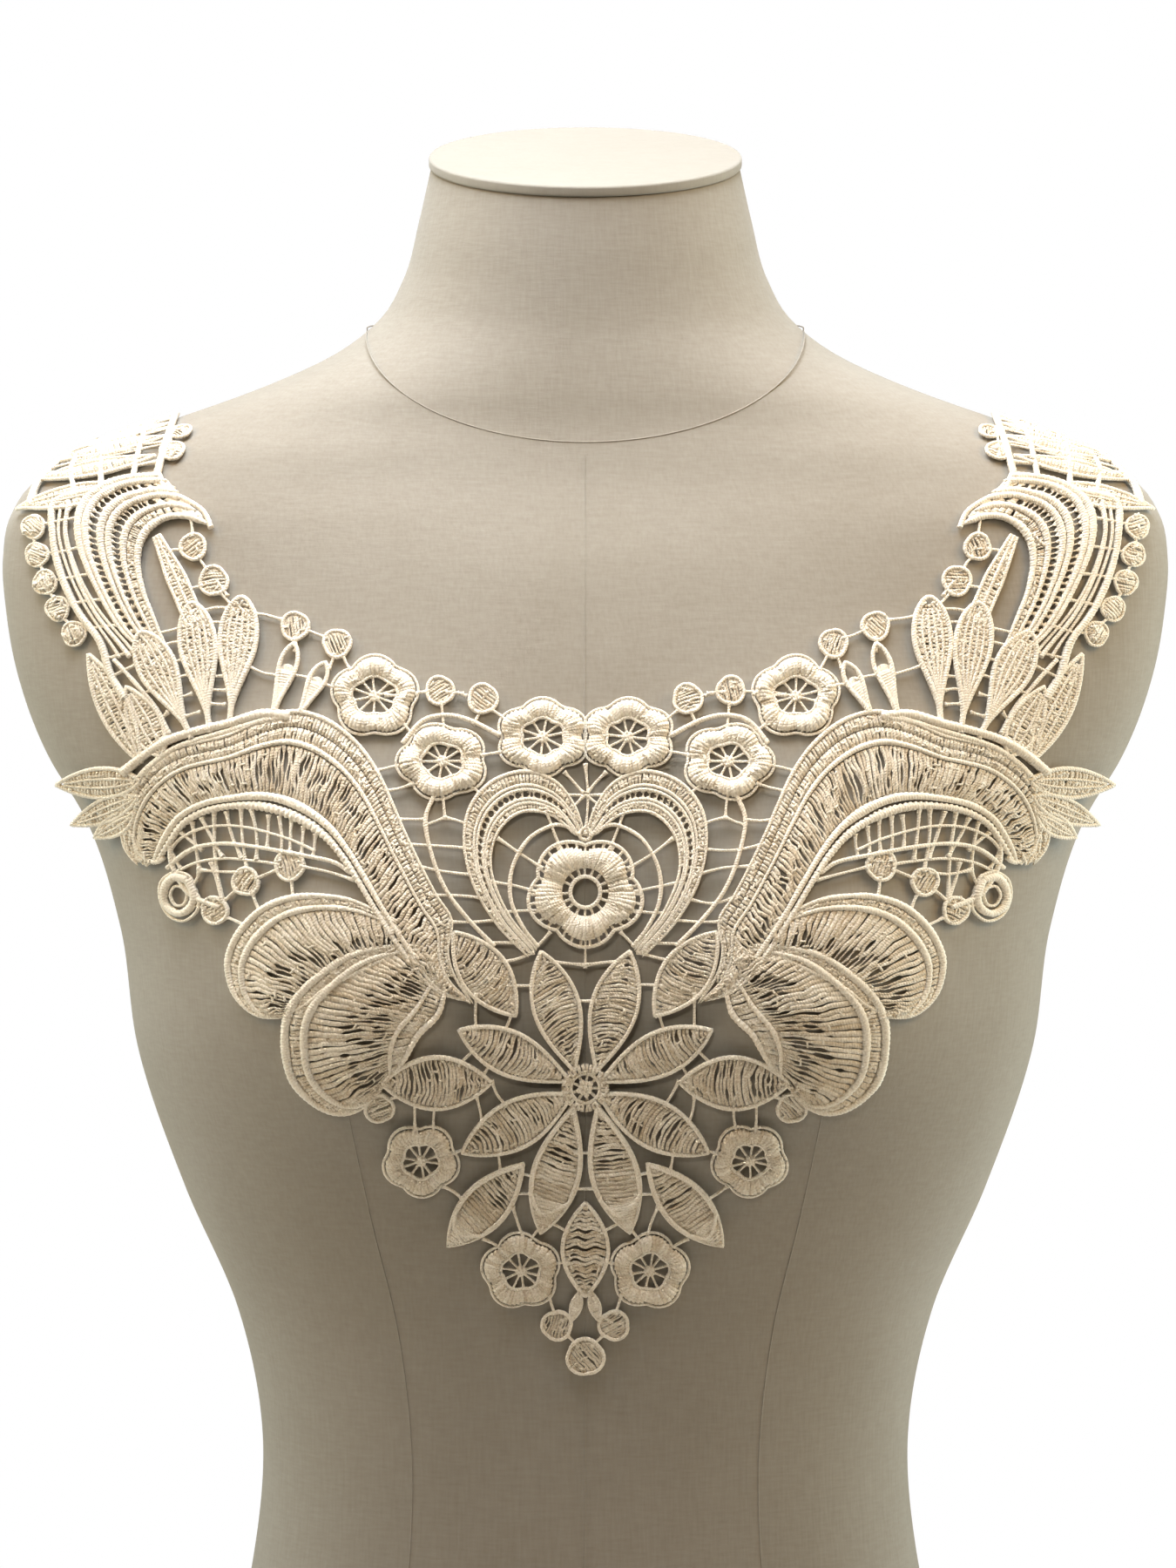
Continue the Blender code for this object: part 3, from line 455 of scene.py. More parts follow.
def smooth(route: Sequence[Place] | Points, step: float, closed: bool = False, count: int = 0) -> Points:
    """Even points along a smooth curve through a route.

    Args:
        route: the points that the curve passes.
        step: distance between the points returned.
        closed: whether the curve returns to its start.
        count: number of points, where it's fixed.

    Returns:
        Points along the curve.
    """
    knots = np.array(route, dtype=float)
    if closed:
        knots = np.vstack((knots[-1:], knots, knots[:2]))
    else:
        knots = np.vstack((2 * knots[0] - knots[1], knots, 2 * knots[-1] - knots[-2]))
    t = np.linspace(0, 1, 12, endpoint=False)[:, None]
    spans = []
    for a, b, c, d in zip(knots, knots[1:], knots[2:], knots[3:]):
        spans.append(0.5 * (2 * b + (c - a) * t + (2 * a - 5 * b + 4 * c - d) * t ** 2
                            + (3 * b - a - 3 * c + d) * t ** 3))
    dense = np.vstack(spans + [knots[-2][None]])
    run = np.concatenate(([0.0], np.cumsum(np.linalg.norm(np.diff(dense, axis=0), axis=1))))
    count = count or max(2, round(run[-1] / step) + 1)
    marks = np.linspace(0, run[-1], count, endpoint=not closed)
    return np.stack([np.interp(marks, run, dense[:, axis]) for axis in (0, 1)], axis=1)


def length_of(path: Points) -> float:
    """Length of a run of points."""
    return float(np.linalg.norm(np.diff(path, axis=0), axis=1).sum())


def round_path(centre: Place, radius: float, step: float) -> Points:
    """Even points round a circle.

    Args:
        centre: the circle's middle.
        radius: its radius.
        step: distance between the points.

    Returns:
        The points, without the first again at the end.
    """
    count = max(8, round(2 * math.pi * radius / step))
    angles = 2 * math.pi * np.arange(count) / count
    return np.array(centre) + radius * np.stack((np.cos(angles), np.sin(angles)), axis=1)


def along_path(path: Points, shares: Points) -> Points:
    """Points at shares of a path.

    Args:
        path: even points.
        shares: how far along it, from 0 to 1.

    Returns:
        A point for each share.
    """
    place = np.clip(shares, 0, 1) * (len(path) - 1)
    low = np.minimum(place.astype(int), len(path) - 2)
    return path[low] + (path[low + 1] - path[low]) * (place - low)[:, None]


def looped(path: Points) -> Points:
    """A ring of points with its first point again at the end."""
    return np.vstack((path, path[:1]))


def skin(index: Points, closed: bool = False) -> Points:
    """Four-sided faces between rings of points.

    Args:
        index: the points' numbers, a row for each ring.
        closed: whether the last ring joins the first.

    Returns:
        Four numbers for each face.
    """
    near, far = (index, np.roll(index, -1, axis=0)) if closed else (index[:-1], index[1:])
    quads = np.stack((near, np.roll(near, -1, axis=1), np.roll(far, -1, axis=1), far), axis=2)
    return quads.reshape(-1, 4)


def facing(outer: Points, inner: Points) -> Points:
    """Points of the inner edge that lie straight across from the outer edge's.

    Args:
        outer: even points of one edge.
        inner: even points of the other edge, running the same way.

    Returns:
        A point of the inner edge for each of the outer edge.
    """
    gaps = np.linalg.norm(outer[:, None] - inner[None], axis=2)
    nearest = np.maximum.accumulate(gaps.argmin(axis=1)).astype(float)
    nearest[0], nearest[-1] = 0, len(inner) - 1
    reach = len(outer) // 9
    padded = np.pad(nearest, reach, mode="reflect", reflect_type="odd")
    soft = np.convolve(padded, np.full(2 * reach + 1, 1 / (2 * reach + 1)), mode="valid")
    return along_path(inner, soft / (len(inner) - 1))


class ThreadWork:
    """Thread gathered in chart space, then laid over the form as one mesh."""

    # How filling threads share the room between two edges, in millimetres and shares.
    point_spacing = 1.35
    least_room = 0.15
    most_room = 2.2
    most_slit = 0.75
    slit_bite = 0.55
    slit_contrast = 1.7
    flatness = 0.75
    least_height = 0.5
    most_height = 1.2
    shortest_thread = 0.9

    def __init__(self, seed: int) -> None:
        """Start with no thread.

        Args:
            seed: start of the source of small irregularities.
        """
        self.rng = np.random.default_rng(seed)
        self.points: list[Points] = []
        self.stitches: list[Points] = []
        self.quads: list[Points] = []
        self.total = 0

    def sweep(
        self,
        path: Points,
        lifts: Points | float,
        widths: Points | float,
        heights: Points | float,
        sides: int = 6,
        tone: Points | float = 0.5,
        wrap: float = 0.0,
        closed: bool = False,
        aside: Points | None = None,
    ) -> None:
        """Sweep an oval thread along a path.

        Args:
            path: chart points of the centre line.
            lifts: height of the centre line above the form.
            widths: full width at each point.
            heights: full height at each point.
            sides: corners of the oval, an even number.
            tone: how bright the thread is, from 0 to 1.
            wrap: share by which wound thread swells and narrows.
            closed: whether the path returns to its start.
            aside: direction across the thread at each point, where the path doesn't give it.
        """
        count = len(path)
        if closed:
            along = unit(np.roll(path, -1, axis=0) - np.roll(path, 1, axis=0))
        else:
            along = unit(np.gradient(path, axis=0))
        if aside is None:
            aside = np.stack((-along[:, 1], along[:, 0]), axis=1)
        elif (along[:, 0] * aside[:, 1] - along[:, 1] * aside[:, 0]).sum() < 0:
            aside = -aside
        steps = np.linalg.norm(np.diff(path, axis=0), axis=1)
        run = np.concatenate(([0.0], np.cumsum(steps)))
        angles = 2 * math.pi * (np.arange(sides) + 0.5) / sides
        start = self.rng.uniform(0, 2 * math.pi)
        swell = 1 + wrap * np.sin(2 * math.pi * run[:, None] / WRAP_PITCH + angles[None] + start)
        half_width = np.broadcast_to(np.asarray(widths, dtype=float) / 2, (count,))[:, None]
        half_height = np.broadcast_to(np.asarray(heights, dtype=float) / 2, (count,))[:, None]
        lift = np.broadcast_to(np.asarray(lifts, dtype=float), (count,))[:, None]
        rings = np.empty((count, sides, 3))
        rings[:, :, :2] = path[:, None] + aside[:, None] * (half_width * np.cos(angles) * swell)[:, :, None]
        rings[:, :, 2] = lift + half_height * np.sin(angles) * swell
        stitch = np.empty((count, sides, 3))
        stitch[:, :, 0] = run[:, None]
        stitch[:, :, 1] = np.cos(angles)[None]
        stitch[:, :, 2] = np.broadcast_to(np.asarray(tone, dtype=float), (count,))[:, None]
        self.points.append(rings.reshape(-1, 3))
        self.stitches.append(stitch.reshape(-1, 3))
        index = np.arange(count * sides).reshape(count, sides) + self.total
        self.quads.append(skin(index, closed))
        if not closed:
            for ring, order in ((index[0], -1), (index[-1], 1)):
                fan = [(ring[0], ring[k], ring[k + 1], ring[k + 2]) for k in range(1, sides - 2, 2)]
                self.quads.append(np.array(fan)[:, ::order])
        self.total += count * sides

    def cord(self, route: Sequence[Place] | Points, width: float, lift: float = 1.7, closed: bool = False,
             tone: float = 0.75, wrap: float = 0.07, ends: float = 1.0) -> None:
        """A wound cord along a smooth route.

        Args:
            route: points that the cord passes.
            width: its width.
            lift: height of its middle above the form.
            closed: whether it returns to its start.
            tone: how bright it is.
            wrap: how much its windings show.
            ends: width at both ends as a share of the middle.
        """
        path = smooth(route, CORD_STEP, closed)
        share = np.linspace(-1, 1, len(path))
        widths = width * (1 + (ends - 1) * share ** 4) if not closed else np.full(len(path), width)
        widths = widths * (1 + 0.05 * self.waver(len(path), 9))
        lifts = lift + 0.06 * self.waver(len(path), 7)
        self.sweep(path, lifts, widths, widths, 6, tone, wrap, closed)

    def waver(self, count: int, waves: int) -> Points:
        """Smooth irregularity of about one in size.

        Args:
            count: number of values.
            waves: about how often it turns.

        Returns:
            The values, the last the same as the first.
        """
        share = np.linspace(0, 1, count)
        knots = self.rng.normal(0, 1, waves + 2)
        knots[-1] = knots[0]
        return np.interp(share, np.linspace(0, 1, waves + 2), knots)

    def slits(self, count: int, u: Points, span: float, style: Filling) -> Points:
        """Width of the slit before and after each thread, along it.

        Args:
            count: number of threads.
            u: share of the thread's length at each of its points.
            span: length of a thread.
            style: the filling.

        Returns:
            A row for each room between threads, with none at the two ends.
        """
        knots = max(2, round(span / style.slit_length)) + 1
        marks = np.linspace(0, 1, knots)
        rows = [np.interp(u + self.rng.uniform(-0.4, 0.4) / knots, marks, self.rng.normal(0, 1, knots))
                for _ in range(count + 1)]
        window = np.minimum(1, 6 * np.minimum(u, 1 - u))
        if style.spine:
            window = window * np.minimum(1, 7 * np.abs(u - 0.5))
        tight = style.tight + style.gather * (2 * (u - style.gather_at)) ** 2
        widths = np.clip((np.array(rows) - tight) * self.slit_contrast, 0, 1) * style.slit_width * window
        widths[0] = widths[-1] = 0
        return widths

    def drift(self, count: int, u: Points, run: float, span: float) -> Points:
        """Smooth irregularity of about one in size that neighbouring threads share.

        Args:
            count: number of threads.
            u: share of the thread's length at each of its points.
            run: length of the edges.
            span: length of a thread.

        Returns:
            A row for each thread.
        """
        rows, columns = max(2, round(run / 5)) + 1, max(2, round(span / 4)) + 1
        knots = self.rng.normal(0, 1, (rows, columns))
        across = np.array([np.interp(u, np.linspace(0, 1, columns), row) for row in knots])
        marks = np.linspace(0, 1, count)
        return np.array([np.interp(marks, np.linspace(0, 1, rows), column) for column in across.T]).T

    def fill(self, left: Points, right: Points, style: Filling, swell: Points | None = None) -> None:
        """Lay threads side by side between two edges, parted here and there by slits.

        Args:
            left: one edge, as even points.
            right: the other edge, running the same way.
            style: how the threads lie.
            swell: share of the crown along the edges, where it isn't the same all along.
        """
        run = (length_of(left) + length_of(right)) / 2
        count = max(2, round(run / style.pitch))
        marks = (np.arange(count) + 0.5 + self.rng.normal(0, 0.08, count)) / count
        ahead = style.slant / max(run, 1e-6) / 2
        first, last = along_path(left, marks - ahead), along_path(right, marks + ahead)
        spans = np.linalg.norm(last - first, axis=1)
        points = max(4, round(float(spans.max()) / self.point_spacing) + 1)
        u = np.linspace(0, 1, points)
        grid = first[:, None] + (last - first)[:, None] * u[None, :, None]
        onward = np.gradient(grid, axis=0)
        room = np.clip(np.linalg.norm(onward, axis=2), self.least_room, self.most_room * style.pitch)
        onward /= np.maximum(np.linalg.norm(onward, axis=2), 0.05)[:, :, None]
        bulge = 1 - (2 * u - 1) ** 2
        bent = style.bend * bulge + style.wave * np.cos(4 * math.pi * u)
        slits = self.slits(count, u, float(spans.mean()), style)
        before = np.minimum(slits[:-1], self.most_slit * room)
        after = np.minimum(slits[1:], self.most_slit * room)
        widths = np.maximum(room * style.overlap - self.slit_bite * (before + after), 0.3)
        fade = np.minimum(1, 5 * np.minimum(u, 1 - u))
        shift = (before - after) / 4 + bent[None] * (spans / spans.max())[:, None]
        shift += style.wander * fade * self.drift(count, u, run, float(spans.mean()))
        grid = grid + onward * (shift + self.rng.normal(0, 0.06, shift.shape))[:, :, None]
        crowns = np.full(count, style.crown)
        if swell is not None:
            crowns = crowns * np.interp(marks, np.linspace(0, 1, len(swell)), swell)
        lifts = style.lift + crowns[:, None] * bulge + self.rng.normal(0, 0.09, grid.shape[:2])
        heights = np.clip(widths * self.flatness, self.least_height, self.most_height)
        tones = np.clip(style.tone + self.rng.normal(0, 0.12, count), 0, 1)
        for index in np.nonzero(spans > self.shortest_thread)[0]:
            self.sweep(grid[index], lifts[index], widths[index], heights[index], 4, tones[index])
            if self.rng.uniform() < style.catches:
                self.catch(grid[index], lifts[index], onward[index], style)

    def catch(self, path: Points, lifts: Points, onward: Points, style: Filling) -> None:
        """A short thread tied across two or three others.

        Args:
            path: the thread that it starts on.
            lifts: that thread's heights.
            onward: directions to the next thread.
            style: the filling.
        """
        at = int(self.rng.integers(1, len(path) - 1))
        reach = style.pitch * self.rng.uniform(0.8, 1.8)
        drift = unit((path[-1] - path[0])[None])[0] * self.rng.normal(0, 0.5)
        ends = np.array((path[at], path[at] + onward[at] * reach / 2 + drift * 0.5,
                         path[at] + onward[at] * reach + drift))
        self.sweep(ends, lifts[at] + np.array((0.1, 0.35, 0.05)), 0.85, 0.7, 4, min(1.0, style.tone + 0.15))

    def pad(self, left: Points, right: Points, lift: float, height: float, tone: float) -> None:
        """A low padded body in the strip between two edges.

        Args:
            left: one edge.
            right: the other edge, with as many points.
            lift: height of its middle above the form.
            height: its full height.
            tone: how bright it is.
        """
        gap = left - right
        widths = np.linalg.norm(gap, axis=1)
        shape = np.minimum(1, widths / max(float(widths.max()) * 0.45, 1e-6))
        self.sweep((left + right) / 2, lift, np.maximum(widths, 0.2), height * shape, 8, tone,
                   aside=unit(gap))

    def knot(self, centre: Place, radius: float, lift: float, height: float, tone: float = 0.7) -> None:
        """A small round knot.

        Args:
            centre: its middle in the chart.
            radius: its radius.
            lift: height of its middle above the form.
            height: its full height.
            tone: how bright it is.
        """
        reach = np.array((-0.98, -0.7, -0.25, 0.25, 0.7, 0.98))
        path = np.array(centre) + radius * np.stack((reach, 0.12 * reach), axis=1)
        swell = np.sqrt(1 - reach ** 2)
        self.sweep(path, lift, 2 * radius * swell, height * swell, 8, tone)

    def build(self, name: str, drape: Drape, finish: bpy.types.Material) -> bpy.types.Object:
        """Lay all the thread over the form as one object.

        Args:
            name: the object's name.
            drape: what lays the chart over the form.
            finish: its material.

        Returns:
            The new object.
        """
        points = drape.lay(np.vstack(self.points))
        obj = mesh_object(name, points, np.vstack(self.quads), finish)
        layer = obj.data.attributes.new("stitch", "FLOAT_VECTOR", "POINT")
        layer.data.foreach_set("vector", np.vstack(self.stitches).astype(np.float32).ravel())
        return obj


def mesh_object(name: str, points: Points, quads: Points, finish: bpy.types.Material) -> bpy.types.Object:
    """Make an object from points and four-sided faces.

    Args:
        name: the object's name.
        points: places in metres.
        quads: four indices for each face.
        finish: its material.

    Returns:
        The new object, shaded smooth.
    """
    mesh = bpy.data.meshes.new(name)
    mesh.vertices.add(len(points))
    mesh.vertices.foreach_set("co", points.astype(np.float32).ravel())
    mesh.loops.add(quads.size)
    mesh.loops.foreach_set("vertex_index", quads.astype(np.int32).ravel())
    mesh.polygons.add(len(quads))
    mesh.polygons.foreach_set("loop_start", np.arange(0, quads.size, 4, dtype=np.int32))
    mesh.polygons.foreach_set("loop_total", np.full(len(quads), 4, dtype=np.int32))
    mesh.update(calc_edges=True)
    mesh.validate()
    mesh.shade_smooth()
    mesh.materials.append(finish)
    obj = bpy.data.objects.new(name, mesh)
    bpy.context.scene.collection.objects.link(obj)
    return obj


@dataclass(frozen=True)
class Flower:
    """A padded flower with lobes and an open eye."""

    across: float
    up: float
    width: float
    height: float
    lobes: int
    turn: float
    eye: float
    eye_stretch: tuple[float, float] = (1.3, 1.08)
    lobe_depth: float = 0.16
    eye_depth: float = 0.14
    spokes: int = 10
    crown: float = 1.7
    tone: float = 0.85

    def round_angles(self) -> Points:
        """Even angles round the flower, about a millimetre apart on its outline."""
        count = max(24, round(math.pi * (self.width + self.height) / 2))
        return 2 * math.pi * np.arange(count) / count

    def petals(self, angles: Points) -> Points:
        """How far the lobes stand out at each angle, from 0 between them to 1."""
        return np.abs(np.cos(self.lobes * (angles - self.turn) / 2))

    def lobed(self, reach: Place, depth: float, grow: float, angles: Points, side: Side) -> Points:
        """Points on a lobed ring round the flower's middle.

        Args:
            reach: half its size across and up.
            depth: how deep the lobes are, as a share.
            grow: room added outwards.
            angles: where on the ring the points are.
            side: half of the collar.

        Returns:
            A point for each angle.
        """
        swell = 1 + depth * (self.petals(angles) - 0.5)
        across = self.across + (reach[0] * swell + grow) * np.cos(angles)
        up = self.up + (reach[1] * swell + grow) * np.sin(angles)
        return np.stack((across * side.value, up), axis=1)

    def outline(self, grow: float, angles: Points, side: Side) -> Points:
        """Points on the lobed outline, grown outwards by some millimetres."""
        return self.lobed((self.width / 2, self.height / 2), self.lobe_depth, grow, angles, side)

    def ring(self, grow: float, angles: Points, side: Side) -> Points:
        """Points on the eye's edge, grown outwards by some millimetres."""
        reach = (self.eye * self.eye_stretch[0], self.eye * self.eye_stretch[1])
        return self.lobed(reach, self.eye_depth, grow, angles, side)

    def satin(self, body: ThreadWork, edging: ThreadWork, side: Side, outer_inset: float,
              inner_grow: float) -> None:
        """Work the padded ring from the outline to the eye.

        Args:
            body: takes the stitches.
            edging: takes the padding under them.
            side: half of the collar.
            outer_inset: room left along the outline.
            inner_grow: room left along the eye.
        """
        angles = self.round_angles()
        crease = self.petals(angles) ** 0.6
        puff = (0.3 + 0.7 * crease) * (1 + 0.18 * body.waver(len(angles), 11))
        outer, inner = self.outline(-outer_inset, angles, side), self.ring(inner_grow, angles, side)
        gap = inner - outer
        # The padding is real thread, but its tone 0.2 below the stitches' is painted shade, so the gaps
        # between stitches read dark.
        edging.sweep((outer + inner) / 2, 1.5 + 0.3 * puff, np.linalg.norm(gap, axis=1), 1.2 + 1.3 * puff,
                     8, self.tone - 0.2, closed=True, aside=unit(gap))
        stitches = replace(SATIN_STITCH, crown=self.crown, tone=self.tone)
        body.fill(looped(outer), looped(inner), stitches, np.append(puff, puff[0]))

    def stitch(self, body: ThreadWork, edging: ThreadWork, side: Side) -> None:
        """Work the flower.

        Args:
            body: takes the padded ring.
            edging: takes the rims, spokes and knot.
            side: half of the collar.
        """
        self.satin(body, edging, side, 0.9, 0.2)
        angles = self.round_angles()
        edging.cord(self.ring(0.0, angles[::3], side), 1.15, 2.0, closed=True, tone=RIM_TONE)
        edging.cord(self.outline(0.05, angles[::2], side), 1.0, 1.5, closed=True, tone=RIM_TONE)
        centre = np.array((self.across * side.value, self.up))
        for index in range(self.spokes):
            angle = 2 * math.pi * (index + edging.rng.uniform(-0.2, 0.2)) / self.spokes + self.turn
            rim = self.ring(0.2, np.array((angle,)), side)[0]
            edging.cord(np.array((rim, centre + (rim - centre) * 0.12)), 0.85, 1.5, tone=0.75, ends=1.7)
        edging.knot(tuple(centre), 1.7, 1.75, 1.8, 0.75)
        for angle in 2 * math.pi * (np.arange(5) + 0.5) / 5:
            spot = centre + 1.15 * np.array((math.cos(angle), math.sin(angle)))
            edging.knot(tuple(spot), 0.8, 1.95, 1.4, 0.8)


@dataclass(frozen=True)
class RingedFlower(Flower):
    """The heart's flower, whose open ring is set in a circle of small spokes."""

    web_radius: float = 7.8
    eye_depth: float = 0.0
    web_spokes: int = 16

    def stitch(self, body: ThreadWork, edging: ThreadWork, side: Side) -> None:
        """Work the flower.

        Args:
            body: takes the padded petals.
            edging: takes the ring, spokes and rims.
            side: half of the collar.
        """
        self.satin(body, edging, side, 2.3, self.web_radius - self.eye)
        count = 60
        angles = 2 * math.pi * np.arange(count) / count
        edging.cord(self.ring(0.75, angles[::4], side), 1.5, 1.9, closed=True, tone=RIM_TONE)
        edging.cord(self.outline(-0.1, angles, side), 1.4, 1.7, closed=True, tone=RIM_TONE)
        for index in range(self.web_spokes):
            angle = np.array((2 * math.pi * (index + edging.rng.uniform(-0.15, 0.15)) / self.web_spokes,))
            ends = [self.ring(grow, angle, side)[0] for grow in (0.8, self.web_radius - self.eye + 0.5)]
            edging.cord(np.array(ends), 1.0, 1.6, tone=0.7, ends=1.3)
        ties = 7 * self.lobes
        for index in range(ties):
            angle = np.array((2 * math.pi * (index + 0.5) / ties + self.turn,))
            ends = [self.outline(grow, angle, side)[0] for grow in (-2.9, -0.1)]
            edging.cord(np.array(ends), 1.0, 1.6, tone=0.7, ends=1.3)


@dataclass(frozen=True)
class Leaf:
    """A pointed leaf, petal, feather or bud."""

    base_across: float
    base_up: float
    tip_across: float
    tip_up: float
    width: float
    belly: float
    style: LeafStyle = LeafStyle.SATIN

    def edges(self, side: Side, count: int, inset: float, start: float = 0.0, end: float = 1.0
              ) -> tuple[Points, Points]:
        """Both edges, or a stretch of them.

        Args:
            side: half of the collar.
            count: points in each edge.
            inset: distance inwards from the outline.
            start: share of the length where they begin.
            end: share of the length where they stop.

        Returns:
            The left and the right edge.
        """
        base = np.array((self.base_across * side.value, self.base_up))
        tip = np.array((self.tip_across * side.value, self.tip_up))
        along = tip - base
        length = float(np.linalg.norm(along))
        aside = np.array((-along[1], along[0])) / length
        power = math.log(0.5) / math.log(self.belly)
        margin = min(0.2, inset / length)
        share = np.linspace(max(start, margin), min(end, 1 - margin), count)
        round_end = np.where(share > self.belly, 0.5, 1.0) if self.style is LeafStyle.FEATHER else 0.8
        half = self.width / 2 * np.sin(math.pi * share ** power) ** round_end
        half = np.maximum(half - inset, 0.05)[:, None]
        middle = base + along * share[:, None]
        return middle + aside * half, middle - aside * half

    def stitch(self, body: ThreadWork, edging: ThreadWork, side: Side) -> None:
        """Work the leaf in its style.

        Args:
            body: takes the filling.
            edging: takes the corded outline and ribs.
            side: half of the collar.
        """
        if self.style is LeafStyle.BUD:
            self.bud(body, edging, side)
            return
        outline = OUTLINE_THREAD
        if self.style is LeafStyle.CAPPED:
            body.pad(*self.edges(side, 12, 0.8, start=0.5), 1.35, 1.3, 0.55)
            body.fill(*self.edges(side, 20, 0.9, start=0.74), LEAF_FILLINGS[LeafStyle.SATIN])
            body.fill(*self.edges(side, 40, 1.9, end=0.76), LEAF_FILLINGS[self.style])
            left, right = self.edges(side, 12, 1.3, end=0.74)
            point = (left[-1] + right[-1]) / 2 + (left[-1] - left[-2]) * 1.6
            edging.cord(np.vstack((left, point[None], right[::-1])), 1.35, 2.2, closed=True, tone=RIM_TONE)
            outline = 1.1
        elif self.style is LeafStyle.FEATHER:
            self.lanes(body, edging, side, 5)
            outline = 1.8
        elif self.style is LeafStyle.VEINED:
            self.lanes(body, edging, side, 3)
        else:
            inset = 0.7 if self.width < NARROW_LEAF else 1.4
            body.fill(*self.edges(side, 40, inset), LEAF_FILLINGS[self.style])
        left, right = self.edges(side, 14, 0.6)
        width = min(outline, self.width / 4)
        edging.cord(np.vstack((left, right[::-1])), width, 1.85, closed=True, tone=RIM_TONE)

    def lanes(self, body: ThreadWork, edging: ThreadWork, side: Side, count: int) -> None:
        """Work dense lanes side by side along the leaf, with a cord between each two.

        Args:
            body: takes the lanes.
            edging: takes the cords.
            side: half of the collar.
            count: number of lanes.
        """
        left, right = self.edges(side, 40, 1.2, start=0.06)
        for index in range(count):
            low, high = index / count, (index + 1) / count
            body.fill(left + (right - left) * low, left + (right - left) * high, DENSE)
            if index:
                edging.cord((left + (right - left) * low)[::4], 0.95, 2.2, tone=CORD_TONE, ends=0.7)

    def bud(self, body: ThreadWork, edging: ThreadWork, side: Side) -> None:
        """Work a tapered stalk with an eyelet at its head.

        Args:
            body: takes the stalk.
            edging: takes the eyelet.
            side: half of the collar.
        """
        left, right = self.edges(side, 14, -0.4, end=0.62)
        body.pad(left, right, 1.5, 1.7, 0.75)
        body.knot(tuple((left[-1] + right[-1]) / 2), self.width / 2, 1.25, 1.3, 0.6)
        left, right = self.edges(side, 14, -0.2, start=0.02)
        edging.cord(np.vstack((left, right[::-1])), OUTLINE_THREAD, 2.1, closed=True, tone=0.9)


@dataclass(frozen=True)
class Picot:
    """A small round picot with a filled middle."""

    across: float
    up: float
    radius: float
    style: PicotStyle = PicotStyle.NET
    pinch: float = 0.1

    def stitch(self, body: ThreadWork, edging: ThreadWork, side: Side) -> None:
        """Work the picot.

        Args:
            body: takes the middle.
            edging: takes the rim.
            side: half of the collar.
        """
        centre = np.array((self.across * side.value, self.up))
        turn = edging.rng.uniform(0, 2 * math.pi)
        angles = turn + 2 * math.pi * np.arange(18) / 18
        reach = 1 + self.pinch * (np.abs(np.cos(1.5 * (angles - turn))) - 0.5)
        ring = np.stack((np.cos(angles), np.sin(angles)), axis=1) * reach[:, None]
        thread = 1.0 if self.style is PicotStyle.FULL else RIM_THREAD
        edging.cord(centre + ring * (self.radius - thread / 2), thread, 1.7, closed=True, tone=RIM_TONE)
        inside = self.radius - thread * 0.9
        half = len(ring) // 2
        disc = centre + looped(ring) * inside
        body.fill(disc[:half + 1], disc[half:][::-1], PICOT_FILLINGS[self.style])


@dataclass(frozen=True)
class Hub:
    """The daisy's hub: a ring with small holes round a knotted middle."""

    across: float
    up: float
    radius: float
    hole_reach: float = 4.9
    holes: int = 9

    def stitch(self, body: ThreadWork, edging: ThreadWork, side: Side) -> None:
        """Work the hub.

        Args:
            body: takes the ring and the knots.
            edging: takes the spokes.
            side: half of the collar, which makes no difference on the centre line.
        """
        centre = np.array((self.across, self.up))
        outer = looped(round_path((self.across, self.up), self.radius, 1.0))
        inner = centre + (outer - centre) * self.hole_reach / self.radius
        body.fill(outer, inner, HUB_RING)
        edging.cord(inner[:-1], 1.2, 2.1, closed=True, tone=0.7)
        for index in range(self.holes):
            angle = 2 * math.pi * index / self.holes
            way = np.array((math.cos(angle), math.sin(angle)))
            edging.cord(np.array((centre + way * 2.0, centre + way * (self.hole_reach + 0.3))), 1.1, 1.6,
                        tone=0.6)
            reach = 2.3 if index % 2 else 1.6
            body.knot(tuple(centre + way * reach), 1.0, 2.1 + 0.2 * body.rng.uniform(), 1.6, 0.65)
        body.knot(tuple(centre), 1.3, 2.3, 1.8, 0.65)


@dataclass(frozen=True)
class Cord:
    """A cord that runs free between motifs."""

    width: float
    route: Route

    def stitch(self, body: ThreadWork, edging: ThreadWork, side: Side) -> None:
        """Work the cord, or three cords with fillings between where it's broad.

        Args:
            body: takes the fillings.
            edging: takes the cords.
            side: half of the collar.
        """
        route = np.array(self.route) * (side.value, 1)
        if self.width < BROAD_CORD:
            edging.cord(route, self.width, 1.75, tone=CORD_TONE, ends=1.15)
            return
        path = smooth(route, 1.0)
        along = unit(np.gradient(path, axis=0))
        widths = self.width * (0.35 + 0.65 * np.minimum(1, np.linspace(0, 2.2, len(path))))
        aside = np.stack((-along[:, 1], along[:, 0]), axis=1) * widths[:, None] / 2
        body.fill(path - aside, path, DENSE)
        body.fill(path, path + aside, DENSE)
        for share in (-1, 0, 1):
            edging.cord((path + aside * share)[::4], RIM_THREAD, 2.0, tone=CORD_TONE)


